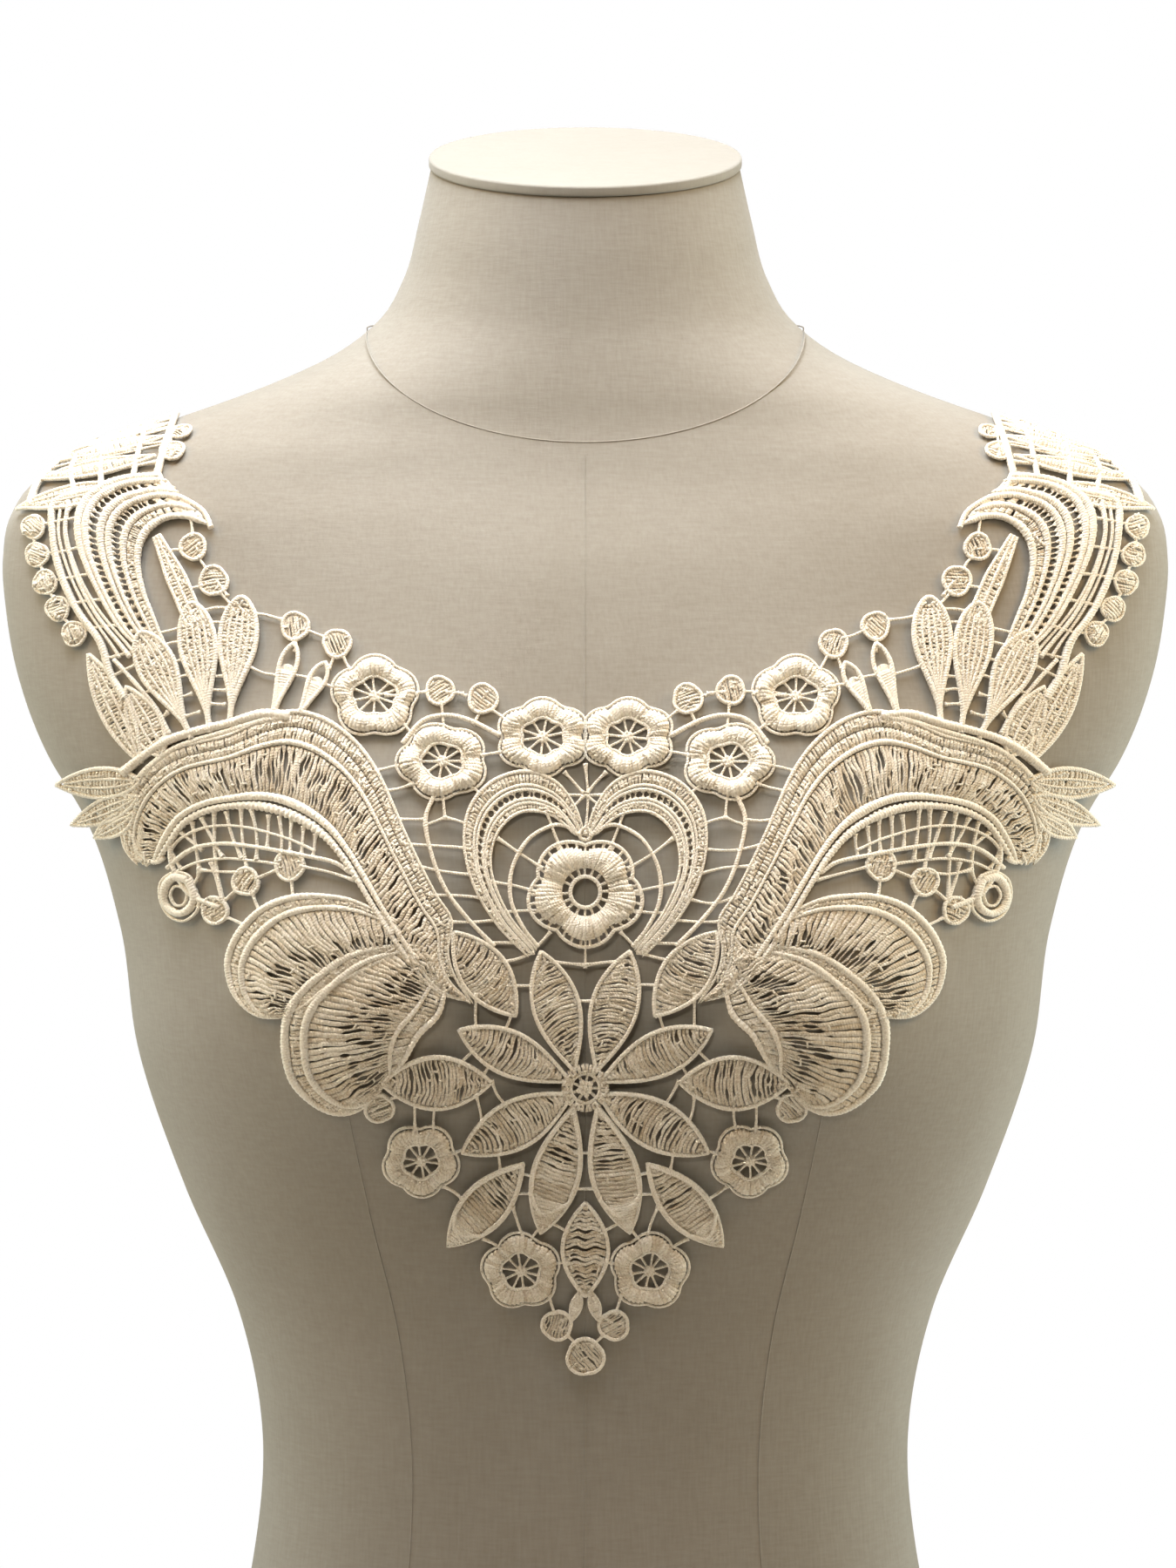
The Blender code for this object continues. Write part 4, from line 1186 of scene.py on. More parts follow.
@dataclass(frozen=True)
class Bar:
    """A straight bar of twisted thread."""

    across: float
    up: float
    to_across: float
    to_up: float

    @property
    def crosses(self) -> bool:
        """Whether the bar is its own mirror image."""
        return self.across == -self.to_across

    def stitch(self, body: ThreadWork, edging: ThreadWork, side: Side) -> None:
        """Work the bar with a slight bow and thicker ends.

        Args:
            body: takes nothing here.
            edging: takes the bar.
            side: half of the collar.
        """
        ends = np.array(((self.across, self.up), (self.to_across, self.to_up))) * (side.value, 1)
        gap = ends[1] - ends[0]
        along = unit(gap[None])[0]
        bow = np.array((-along[1], along[0])) * edging.rng.normal(0, 0.03) * np.linalg.norm(gap)
        edging.cord(np.array((ends[0], ends.mean(axis=0) + bow, ends[1])), BAR_THREAD, 1.55,
                    tone=CORD_TONE, wrap=0.06, ends=1.9)


@dataclass(frozen=True)
class Strip:
    """One strip of a band, as shares of its width."""

    lane: Lane
    start: float
    end: float


@dataclass(frozen=True)
class Band:
    """A long motif between an outer and an inner edge, worked as parallel strips."""

    outer: Route
    inner: Route
    strips: tuple[Strip, ...]
    filling: Filling = Filling()
    squared: bool = True

    def stitch(self, body: ThreadWork, edging: ThreadWork, side: Side) -> None:
        """Work each strip.

        Args:
            body: takes satin and threads across.
            edging: takes cords and rungs.
            side: half of the collar.
        """
        outer = smooth(np.array(self.outer) * (side.value, 1), CORD_STEP)
        inner = smooth(np.array(self.inner) * (side.value, 1), CORD_STEP)
        if self.squared:
            inner = facing(outer, inner)
        else:
            inner = along_path(inner, np.linspace(0, 1, len(outer)))
        for strip in self.strips:
            first = outer + (inner - outer) * strip.start
            last = outer + (inner - outer) * strip.end
            self.work(strip.lane, first, last, body, edging)

    def work(self, lane: Lane, first: Points, last: Points, body: ThreadWork, edging: ThreadWork) -> None:
        """Work one strip between its own edges.

        Args:
            lane: what fills it.
            first: its outer edge.
            last: its inner edge.
            body: takes stitches and threads across.
            edging: takes cords and rungs.
        """
        if lane in (Lane.CORD, Lane.ROPE):
            widths = np.linalg.norm(last - first, axis=1)
            steps = np.arange(len(first))
            tapered = np.minimum(1, 0.25 + np.minimum(steps, steps[::-1]) / 5)
            widths = np.clip(widths * 0.98, 1.0, None) * (1 + 0.05 * edging.waver(len(first), 31)) * tapered
            wrap = 0.2 if lane is Lane.ROPE else 0.08
            edging.sweep((first + last) / 2, 1.9, widths, np.minimum(widths * 1.05, 2.2), 6, RIM_TONE, wrap)
        elif lane is Lane.LADDER:
            edging.fill(first, last, LADDER_RUNGS)
        else:
            body.fill(first, last, DENSE if lane is Lane.MOTTLED else self.filling)


HEART_STRIPS = (
    Strip(Lane.CORD, 0.0, 0.10), Strip(Lane.MOTTLED, 0.10, 0.32), Strip(Lane.CORD, 0.32, 0.41),
    Strip(Lane.CORD, 0.42, 0.51), Strip(Lane.LADDER, 0.50, 0.65), Strip(Lane.CORD, 0.64, 0.73),
    Strip(Lane.CORD, 0.73, 0.82), Strip(Lane.MOTTLED, 0.81, 0.92), Strip(Lane.CORD, 0.91, 1.0),
)
SCROLL_STRIPS = (
    Strip(Lane.CORD, 0.0, 0.05), Strip(Lane.MOTTLED, 0.05, 0.165), Strip(Lane.MOTTLED, 0.175, 0.285),
    Strip(Lane.CORD, 0.285, 0.345), Strip(Lane.RIBS, 0.35, 0.80), Strip(Lane.CORD, 0.80, 0.895),
    Strip(Lane.ROPE, 0.905, 1.0),
)
SHELL_STRIPS = (
    Strip(Lane.CORD, 0.0, 0.07), Strip(Lane.MOTTLED, 0.07, 0.15), Strip(Lane.CORD, 0.15, 0.22),
    Strip(Lane.RIBS, 0.21, 0.98), Strip(Lane.CORD, 0.955, 1.0),
)
STEMMED_SHELL_STRIPS = (
    Strip(Lane.CORD, 0.0, 0.065), Strip(Lane.MOTTLED, 0.065, 0.14), Strip(Lane.CORD, 0.14, 0.20),
    Strip(Lane.RIBS, 0.19, 0.80), Strip(Lane.CORD, 0.79, 0.83), Strip(Lane.MOTTLED, 0.83, 0.95),
    Strip(Lane.CORD, 0.95, 1.0),
)
ARCH_STRIPS = (
    Strip(Lane.CORD, 0.0, 0.11), Strip(Lane.CORD, 0.11, 0.21), Strip(Lane.LADDER, 0.20, 0.34),
    Strip(Lane.CORD, 0.33, 0.44), Strip(Lane.CORD, 0.45, 0.55), Strip(Lane.LADDER, 0.54, 0.68),
    Strip(Lane.CORD, 0.67, 0.77), Strip(Lane.MOTTLED, 0.77, 0.89), Strip(Lane.CORD, 0.89, 1.0),
)

BANDS = (
    Band(
        ((0.6, 84.6), (3.6, 93.0), (9.6, 100.6), (19.7, 104.2), (31.0, 100.8), (38.6, 92.0),
         (40.3, 80.0), (37.2, 67.0), (29.5, 54.0), (19.0, 43.2)),
        ((3.2, 82.6), (11.0, 88.8), (20.0, 90.0), (26.6, 86.0), (30.4, 78.5), (30.2, 69.0),
         (25.0, 57.0), (16.0, 45.6)),
        HEART_STRIPS,
    ),
    Band(
        ((149.0, 70.2), (154.2, 77.0), (154.6, 88.0), (151.0, 97.6), (144.6, 105.0), (136.4, 110.2),
         (126.4, 113.0), (117.4, 115.2), (106.0, 120.4), (96.2, 123.2), (87.6, 121.8), (80.1, 117.8),
         (73.0, 111.4), (67.2, 103.0), (62.6, 93.2), (58.6, 84.0), (54.1, 74.6), (48.6, 64.0),
         (43.6, 55.8), (45.0, 46.0), (43.0, 37.6), (37.0, 28.4)),
        ((142.0, 71.0), (137.0, 77.4), (131.2, 84.8), (121.6, 89.4), (109.0, 90.4), (97.0, 87.6),
         (87.0, 82.2), (80.0, 75.0), (74.0, 66.0), (68.0, 56.0), (60.0, 44.0), (50.0, 33.0),
         (40.0, 29.4)),
        SCROLL_STRIPS,
        SCROLL_RIBS,
    ),
    Band(
        ((60.0, 55.0), (74.4, 61.8), (84.0, 63.8), (93.8, 63.6), (102.6, 61.0), (109.6, 56.0),
         (115.4, 48.4), (118.0, 39.6), (115.4, 29.6), (107.8, 23.2), (98.0, 23.0)),
        ((62.0, 45.0), (72.0, 39.0), (82.0, 34.0), (90.0, 28.0), (96.6, 24.6)),
        SHELL_STRIPS,
        SHELL_RIBS,
        squared=False,
    ),
    Band(
        ((54.0, 48.0), (66.0, 47.4), (78.7, 44.0), (92.0, 33.8), (98.2, 24.0), (99.2, 13.0),
         (96.8, 2.0), (90.0, -5.4), (81.6, -8.8), (73.4, -6.6), (67.0, 0.6)),
        ((46.0, 38.0), (46.0, 30.0), (48.0, 24.0), (53.8, 18.6), (58.6, 10.9), (64.0, 4.6)),
        STEMMED_SHELL_STRIPS,
        SHELL_RIBS,
        squared=False,
    ),
    Band(
        ((143.0, 204.0), (157.0, 202.6), (166.8, 197.0), (171.4, 187.6), (170.0, 175.6),
         (163.6, 161.6), (154.6, 148.0), (144.0, 140.0)),
        ((124.6, 182.6), (131.6, 185.6), (139.2, 185.4), (145.4, 181.0), (148.2, 173.0),
         (146.8, 163.0), (142.4, 152.0), (138.6, 143.0)),
        ARCH_STRIPS,
    ),
)

FLOWERS = (
    Flower(69.2, 127.6, 27.0, 25.0, 5, 0.3, 5.6),
    Flower(46.9, 106.7, 28.0, 23.0, 5, 1.2, 5.2),
    Flower(14.0, 114.6, 28.8, 23.6, 6, 0.5, 5.4),
    # The two lowest flowers take tone 0.6 instead of 0.85 as painted shade: the same lace, darkened for the
    # weaker light low on the form.
    Flower(54.1, -24.3, 23.5, 23.5, 5, 0.9, 4.6, (1.3, 1.3), crown=1.2, tone=0.6),
    Flower(21.2, -62.1, 24.3, 24.3, 5, 0.2, 4.8, (1.3, 1.3), crown=1.2, tone=0.6),
)
HEART_FLOWER = RingedFlower(0.0, 64.4, 36.0, 33.4, 5, -1.57, 4.3, (1.0, 1.0))

LEAVES = (
    Leaf(3.6, 5.0, 14.9, 45.5, 16.2, 0.55, LeafStyle.MOTTLED),
    Leaf(4.5, 2.0, 42.0, 20.0, 15.4, 0.55, LeafStyle.RIBBED),
    Leaf(4.5, -2.0, 40.9, -21.7, 17.0, 0.52, LeafStyle.RIBBED),
    Leaf(3.8, -5.0, 14.8, -49.5, 17.0, 0.55, LeafStyle.CAPPED),
    Leaf(30.9, 2.3, 66.9, 2.3, 18.6, 0.50, LeafStyle.RIBBED),
    Leaf(20.0, -24.9, 45.5, -54.1, 16.3, 0.52, LeafStyle.CAPPED),
    Leaf(43.5, 52.0, 22.9, 24.0, 16.6, 0.50, LeafStyle.MOTTLED),
    Leaf(1.6, -68.5, 4.6, -79.5, 4.6, 0.50),
    Leaf(147.0, 99.0, 178.6, 96.5, 11.0, 0.45, LeafStyle.VEINED),
    Leaf(148.0, 94.0, 173.4, 82.5, 9.0, 0.45, LeafStyle.VEINED),
    Leaf(149.5, 88.0, 165.0, 78.5, 8.0, 0.45, LeafStyle.VEINED),
    Leaf(117.2, 117.6, 113.6, 160.0, 13.4, 0.68, LeafStyle.FEATHER),
    Leaf(123.6, 114.8, 130.5, 158.0, 13.2, 0.68, LeafStyle.FEATHER),
    Leaf(129.5, 112.8, 148.0, 148.0, 13.4, 0.68, LeafStyle.FEATHER),
    Leaf(139.8, 107.0, 152.6, 130.4, 12.0, 0.45, LeafStyle.VEINED),
    Leaf(147.0, 104.6, 166.0, 141.0, 11.5, 0.50, LeafStyle.VEINED),
    Leaf(156.0, 199.0, 193.0, 190.5, 9.5, 0.45, LeafStyle.VEINED),
    Leaf(102.6, 121.5, 95.8, 144.5, 5.2, 0.70, LeafStyle.BUD),
    Leaf(93.8, 121.5, 85.4, 138.2, 4.8, 0.70, LeafStyle.BUD),
    Leaf(185.0, 204.0, 144.0, 211.6, 8.4, 0.45),
    Leaf(179.0, 216.0, 141.0, 222.4, 8.0, 0.50),
    Leaf(176.0, 226.6, 140.6, 233.0, 7.8, 0.50),
    Leaf(174.4, 237.0, 140.2, 243.4, 7.8, 0.50),
    Leaf(173.0, 248.0, 141.0, 254.0, 7.6, 0.50),
    Leaf(170.4, 259.4, 143.6, 265.0, 7.4, 0.50),
    Leaf(182.4, 210.6, 142.6, 217.0, 3.0, 0.50),
    Leaf(177.6, 221.4, 141.0, 227.8, 3.0, 0.50),
    Leaf(175.2, 231.8, 140.4, 238.2, 3.0, 0.50),
    Leaf(173.8, 242.6, 140.6, 248.8, 3.0, 0.50),
    Leaf(171.8, 253.8, 142.4, 259.6, 3.0, 0.50),
)
POINT_LEAF = Leaf(0.0, -38.4, 0.0, -71.0, 16.3, 0.50, LeafStyle.CHEVRON)

PICOTS = (
    Picot(95.8, 150.4, 5.0), Picot(81.8, 144.8, 5.0), Picot(47.8, 129.6, 5.0), Picot(33.7, 127.0, 5.2),
    Picot(9.4, -80.7, 5.4), Picot(67.6, -6.2, 5.2), Picot(121.6, 56.9, 4.9), Picot(111.0, 66.9, 4.9),
    Picot(96.4, 72.6, 5.2), Picot(130.6, 176.4, 4.8), Picot(123.4, 165.2, 5.2),
    Picot(186.2, 183.4, 4.4, PicotStyle.FULL), Picot(184.6, 173.8, 4.4, PicotStyle.FULL),
    Picot(181.6, 164.4, 4.4, PicotStyle.FULL), Picot(177.0, 155.6, 4.4, PicotStyle.FULL),
    Picot(171.0, 147.4, 4.4, PicotStyle.FULL), Picot(139.0, 214.0, 4.6), Picot(137.0, 225.0, 4.6),
)
TIP_PICOT = Picot(0.0, -91.4, 6.6)
HUB = Hub(0.0, 0.0, 8.0)
CLEFT_KNOT = Picot(0.0, 83.2, 2.6)

CORDS = (
    Cord(1.4, ((1.6, 82.6), (5.6, 85.4), (11.0, 86.0), (19.0, 81.4), (24.2, 72.0), (24.6, 62.0),
               (20.6, 53.0), (15.6, 46.6))),
    Cord(1.6, ((60.0, 112.4), (53.6, 119.6), (46.0, 121.6), (37.6, 119.8), (28.0, 115.0))),
    Cord(1.5, ((49.0, 97.0), (52.4, 88.0), (50.2, 76.0), (45.6, 65.0), (38.4, 55.6), (30.0, 47.0))),
    Cord(1.6, ((137.0, 80.0), (136.6, 71.4), (130.6, 62.0), (120.0, 58.0))),
    Cord(1.5, ((138.4, 70.0), (130.0, 76.6), (120.0, 79.0), (108.0, 78.4), (92.0, 76.0), (82.0, 74.0),
               (76.6, 70.6))),
    Cord(3.0, ((97.0, 121.0), (106.6, 121.6), (117.4, 118.4), (126.6, 116.2), (137.4, 112.8), (146.4, 107.4),
               (153.6, 101.6))),
    Cord(6.0, ((143.0, 180.0), (136.0, 166.0), (128.6, 150.0))),
    Cord(2.4, ((166.0, 197.0), (178.6, 192.6), (179.0, 180.0), (175.8, 167.0), (169.8, 155.0),
               (162.0, 145.0), (158.0, 134.0), (153.0, 126.0))),
    Cord(1.4, ((173.8, 193.0), (174.6, 181.0), (170.6, 167.0), (163.4, 154.0), (154.0, 143.0),
               (151.4, 139.8))),
    Cord(2.2, ((144.0, 202.0), (142.0, 214.0), (140.4, 228.0), (139.6, 244.0), (141.0, 262.0),
               (147.0, 274.0), (156.0, 278.0), (165.0, 274.0), (171.0, 262.0), (172.6, 246.0),
               (175.0, 230.0), (180.6, 214.0), (186.0, 202.0), (188.0, 192.0))),
    Cord(1.8, ((152.0, 202.0), (150.6, 216.0), (149.4, 232.0), (149.0, 248.0), (150.0, 264.0),
               (156.0, 277.0))),
    Cord(1.8, ((163.0, 199.0), (163.4, 214.0), (162.0, 230.0), (160.8, 246.0), (160.0, 262.0),
               (156.4, 277.0))),
    Cord(1.8, ((172.0, 196.0), (174.0, 208.0), (172.0, 220.0))),
    Cord(1.0, ((137.6, 75.6), (133.0, 80.6), (124.0, 84.4), (112.0, 84.8), (98.0, 81.6), (88.0, 77.6))),
    Cord(2.0, ((147.4, 100.8), (142.4, 105.4), (136.6, 109.5), (129.6, 112.3), (122.0, 114.6), (114.0, 117.0),
               (106.4, 119.3), (99.0, 120.6))),
    Cord(1.4, ((157.0, 139.0), (149.6, 131.4), (142.6, 123.6), (137.4, 114.6))),
    Cord(1.6, ((150.6, 81.0), (148.8, 75.6), (145.4, 72.6), (142.0, 71.8), (139.4, 73.6))),
    Cord(1.0, ((129.0, 63.0), (130.2, 67.6), (135.4, 68.9), (140.2, 65.6), (141.0, 59.4), (138.0, 54.0),
               (132.6, 52.6), (128.0, 56.0), (127.2, 60.4), (129.0, 63.0))),
    Cord(1.0, ((132.0, 63.6), (135.6, 64.0), (137.2, 61.0), (135.6, 57.8), (132.6, 58.2), (131.4, 61.2),
               (132.0, 63.6))),
    Cord(1.0, ((136.8, 68.0), (128.0, 72.4), (118.0, 74.2), (106.0, 73.6), (99.6, 72.8))),
    Cord(1.9, ((124.6, 182.6), (127.6, 188.6), (134.6, 193.6), (140.0, 196.0), (143.0, 203.4))),
    Cord(1.0, ((170.6, 193.6), (174.6, 186.6), (173.4, 177.0), (169.0, 165.6), (162.0, 154.6), (152.0, 143.6),
               (149.6, 140.6))),
    Cord(1.0, ((176.4, 193.0), (177.0, 181.0), (173.2, 168.0), (166.6, 155.6), (158.0, 144.0),
               (155.0, 139.6))),
    Cord(2.6, ((131.0, 66.6), (136.0, 67.0), (139.2, 62.8), (138.8, 57.6), (134.6, 55.0), (130.4, 57.0),
               (128.8, 61.4), (131.0, 66.6))),
)

BARS = (
    # Neckline flowers, picots and buds.
    Bar(55.0, 128.5, 66.0, 128.0), Bar(42.0, 128.8, 39.0, 127.9), Bar(40.0, 128.6, 46.0, 129.0),
    Bar(52.0, 129.2, 58.0, 128.6), Bar(31.0, 123.6, 25.0, 119.0), Bar(47.4, 126.0, 46.4, 116.0),
    Bar(34.6, 123.0, 37.0, 118.6), Bar(77.0, 136.0, 80.0, 141.4), Bar(85.0, 146.4, 93.0, 149.6),
    Bar(99.6, 152.4, 113.0, 155.0), Bar(95.8, 147.0, 95.8, 142.0), Bar(82.6, 141.4, 84.4, 136.4),
    Bar(79.0, 130.0, 86.0, 131.6), Bar(88.6, 133.0, 97.0, 134.6), Bar(99.0, 134.0, 112.6, 138.0),
    Bar(60.0, 119.0, 52.0, 112.0), Bar(58.0, 106.0, 69.0, 103.4), Bar(56.0, 99.6, 66.0, 97.0),
    Bar(34.6, 108.6, 26.0, 110.0), Bar(38.0, 99.0, 34.0, 96.0), Bar(47.0, 97.0, 46.0, 88.0),
    # Web between the heart and the scroll, and inside the heart.
    Bar(46.0, 88.6, 37.6, 86.0), Bar(46.0, 88.6, 53.0, 86.0), Bar(52.0, 88.0, 62.0, 88.0),
    Bar(37.0, 78.6, 59.0, 80.0), Bar(36.0, 70.0, 55.4, 73.0), Bar(33.0, 62.6, 50.6, 63.6),
    Bar(28.0, 55.6, 45.0, 55.0), Bar(22.0, 48.0, 36.0, 48.0), Bar(17.0, 45.0, 30.0, 42.0),
    Bar(14.0, 72.0, 29.0, 82.0), Bar(15.6, 64.4, 32.0, 68.0), Bar(14.6, 58.6, 29.0, 58.0),
    Bar(8.0, 78.0, 13.0, 91.0), Bar(11.6, 51.6, 17.0, 46.0), Bar(0.0, 83.0, 0.0, 106.0),
    Bar(-8.0, 96.0, 8.0, 96.0), Bar(0.6, 96.4, 7.0, 103.4), Bar(0.6, 95.6, 7.4, 90.4),
    Bar(0.0, 50.0, 0.0, 39.6), Bar(0.0, 40.6, 12.0, 42.0),
    # Daisy, its outer leaves, the lower flowers and the point.
    Bar(-4.0, 29.0, 4.0, 29.0), Bar(-4.0, -22.0, 4.0, -22.0), Bar(-4.0, -34.0, 4.0, -34.0),
    Bar(14.0, 34.0, 26.0, 34.0), Bar(24.0, 26.0, 28.0, 14.0), Bar(36.0, 32.0, 36.0, 18.0),
    Bar(36.0, 14.0, 42.0, 8.0), Bar(30.0, 12.0, 34.0, 4.0), Bar(31.0, 3.0, 26.0, -6.0),
    Bar(36.0, -2.0, 34.0, -12.0), Bar(15.0, -30.0, 24.0, -28.0), Bar(16.0, -36.0, 26.0, -36.0),
    Bar(29.0, -20.0, 28.0, -28.0), Bar(49.0, -2.0, 50.0, -16.0), Bar(56.0, -2.0, 56.0, -14.0),
    Bar(62.0, -2.0, 70.0, -7.0), Bar(38.0, -20.0, 44.0, -22.0), Bar(40.0, -38.0, 47.0, -33.0),
    Bar(24.0, -40.0, 20.0, -52.0), Bar(34.0, -51.0, 26.0, -56.0), Bar(14.0, -46.0, 19.0, -53.0),
    Bar(4.0, -50.0, 13.0, -45.0), Bar(5.0, -59.0, 12.0, -60.0), Bar(2.0, -68.0, 3.0, -72.0),
    Bar(12.0, -70.0, 10.0, -77.0), Bar(4.0, -77.0, 8.0, -79.0), Bar(6.0, -84.0, 2.0, -88.0),
    # Net under the arch of the scroll.
    Bar(129.6, 86.0, 127.0, 70.0), Bar(122.0, 90.0, 119.0, 60.0), Bar(113.0, 91.0, 110.6, 70.0),
    Bar(103.6, 89.0, 104.0, 77.4), Bar(96.0, 88.0, 96.4, 76.0), Bar(88.0, 83.0, 89.0, 75.0),
    Bar(127.0, 70.0, 130.0, 64.0), Bar(124.6, 57.4, 130.0, 58.4), Bar(119.0, 59.6, 113.6, 64.6),
    Bar(107.6, 68.0, 100.0, 71.4), Bar(93.0, 72.6, 75.4, 68.4), Bar(109.0, 64.0, 106.0, 57.0),
    Bar(96.0, 69.0, 95.0, 61.0), Bar(118.0, 55.0, 110.0, 52.0), Bar(127.0, 70.0, 112.0, 70.0),
    Bar(133.4, 82.2, 126.0, 76.6), Bar(126.4, 87.4, 119.0, 74.6), Bar(118.0, 89.8, 112.4, 74.2),
    Bar(109.4, 90.6, 107.4, 74.0), Bar(100.0, 88.6, 99.6, 73.6), Bar(92.0, 85.4, 92.6, 75.8),
    Bar(137.6, 76.8, 133.6, 70.0), Bar(123.0, 72.8, 119.2, 60.9),
    # Shoulder wing: hook, feathers, side net, and the strip over the shoulder.
    Bar(130.8, 179.6, 132.0, 187.0), Bar(134.0, 175.6, 141.0, 175.0), Bar(125.4, 168.6, 129.0, 173.4),
    Bar(127.0, 163.6, 135.0, 162.0), Bar(121.6, 161.6, 117.0, 157.0), Bar(118.0, 146.0, 126.0, 146.0),
    Bar(119.0, 134.0, 126.0, 134.0), Bar(132.0, 140.0, 140.0, 138.0), Bar(130.0, 128.0, 136.0, 126.0),
    Bar(118.6, 124.6, 123.8, 124.8), Bar(118.4, 129.2, 124.4, 129.4), Bar(117.8, 140.0, 126.0, 140.2),
    Bar(117.6, 151.6, 127.0, 151.4), Bar(117.0, 156.0, 127.6, 155.0), Bar(127.2, 122.0, 131.8, 120.6),
    Bar(130.4, 134.4, 137.6, 132.4), Bar(133.0, 145.4, 142.4, 143.0), Bar(122.4, 165.0, 118.6, 160.2),
    Bar(133.0, 150.0, 146.0, 147.0), Bar(142.0, 130.0, 152.0, 124.0), Bar(138.0, 122.0, 144.0, 116.0),
    Bar(148.0, 138.0, 160.0, 132.0), Bar(151.0, 118.0, 155.0, 120.0), Bar(146.0, 112.0, 152.0, 112.0),
    Bar(169.0, 187.0, 186.0, 183.6), Bar(168.0, 177.0, 184.0, 174.0), Bar(164.6, 167.6, 181.0, 164.6),
    Bar(160.6, 159.0, 176.0, 155.8), Bar(155.0, 150.4, 170.0, 147.6), Bar(149.0, 142.0, 161.0, 139.0),
    Bar(186.2, 181.0, 184.8, 176.0), Bar(184.4, 171.6, 182.0, 166.8), Bar(181.0, 162.4, 177.6, 157.8),
    Bar(176.4, 153.4, 171.6, 149.6), Bar(143.0, 209.0, 183.0, 208.0), Bar(141.0, 218.6, 178.0, 219.0),
    Bar(140.0, 229.0, 175.0, 229.0), Bar(139.6, 239.4, 173.0, 239.4), Bar(140.0, 250.0, 172.6, 250.0),
    Bar(141.0, 261.0, 171.0, 261.0), Bar(147.0, 271.0, 167.0, 271.0), Bar(139.0, 210.6, 139.0, 228.0),
)

# Edges between the groups, each as across and up.
CENTRE_EDGE = (
    (61.0, -16.0), (61.0, -6.6), (63.6, -1.2), (68.0, 2.6), (64.0, 5.2), (58.0, 9.4), (52.0, 12.2),
    (44.0, 15.0), (33.0, 21.0), (30.0, 24.6), (36.6, 30.2), (42.0, 38.0), (44.2, 46.6), (43.6, 53.2),
    (43.0, 57.4), (47.6, 64.4), (53.1, 74.8), (57.6, 83.8), (61.6, 93.0), (66.2, 102.8), (72.0, 111.4),
    (78.4, 117.4), (81.6, 119.9), (84.4, 126.0), (82.6, 132.0), (83.0, 139.6), (88.8, 146.0),
    (88.8, 158.0),
)
WING_EDGE = (
    (103.4, 168.0), (104.4, 152.0), (105.0, 138.0), (106.0, 124.0), (106.2, 121.2), (117.8, 116.2),
    (126.8, 114.0), (137.0, 111.0), (145.4, 105.6), (151.6, 98.8), (160.0, 104.8),
)


def group_at(across: float, up: float) -> Group:
    """Group that holds a place in the right half of the chart.

    Args:
        across: distance from the centre front.
        up: distance up from the daisy's hub.

    Returns:
        The group on whose side of the edges the place is.
    """
    centre, wing = np.array(CENTRE_EDGE), np.array(WING_EDGE)
    if across > wing[0, 0] and up > np.interp(across, wing[:, 0], wing[:, 1]):
        return Group.WING
    if across > np.interp(up, centre[:, 1], centre[:, 0]):
        return Group.SCROLL
    return Group.CENTRE


Motif = Flower | Leaf | Picot | Hub | Cord | Bar | Band


def middle_of(motif: Motif) -> Place:
    """A place well inside a motif, by which it's put in its group.

    Args:
        motif: the motif.

    Returns:
        The place's distances across and up.
    """
    if isinstance(motif, (Flower, Picot, Hub)):
        return motif.across, motif.up
    if isinstance(motif, Leaf):
        return (motif.base_across + motif.tip_across) / 2, (motif.base_up + motif.tip_up) / 2
    if isinstance(motif, Bar):
        return (abs(motif.across) + abs(motif.to_across)) / 2, (motif.up + motif.to_up) / 2
    route = motif.route if isinstance(motif, Cord) else motif.outer
    return route[len(route) // 2]


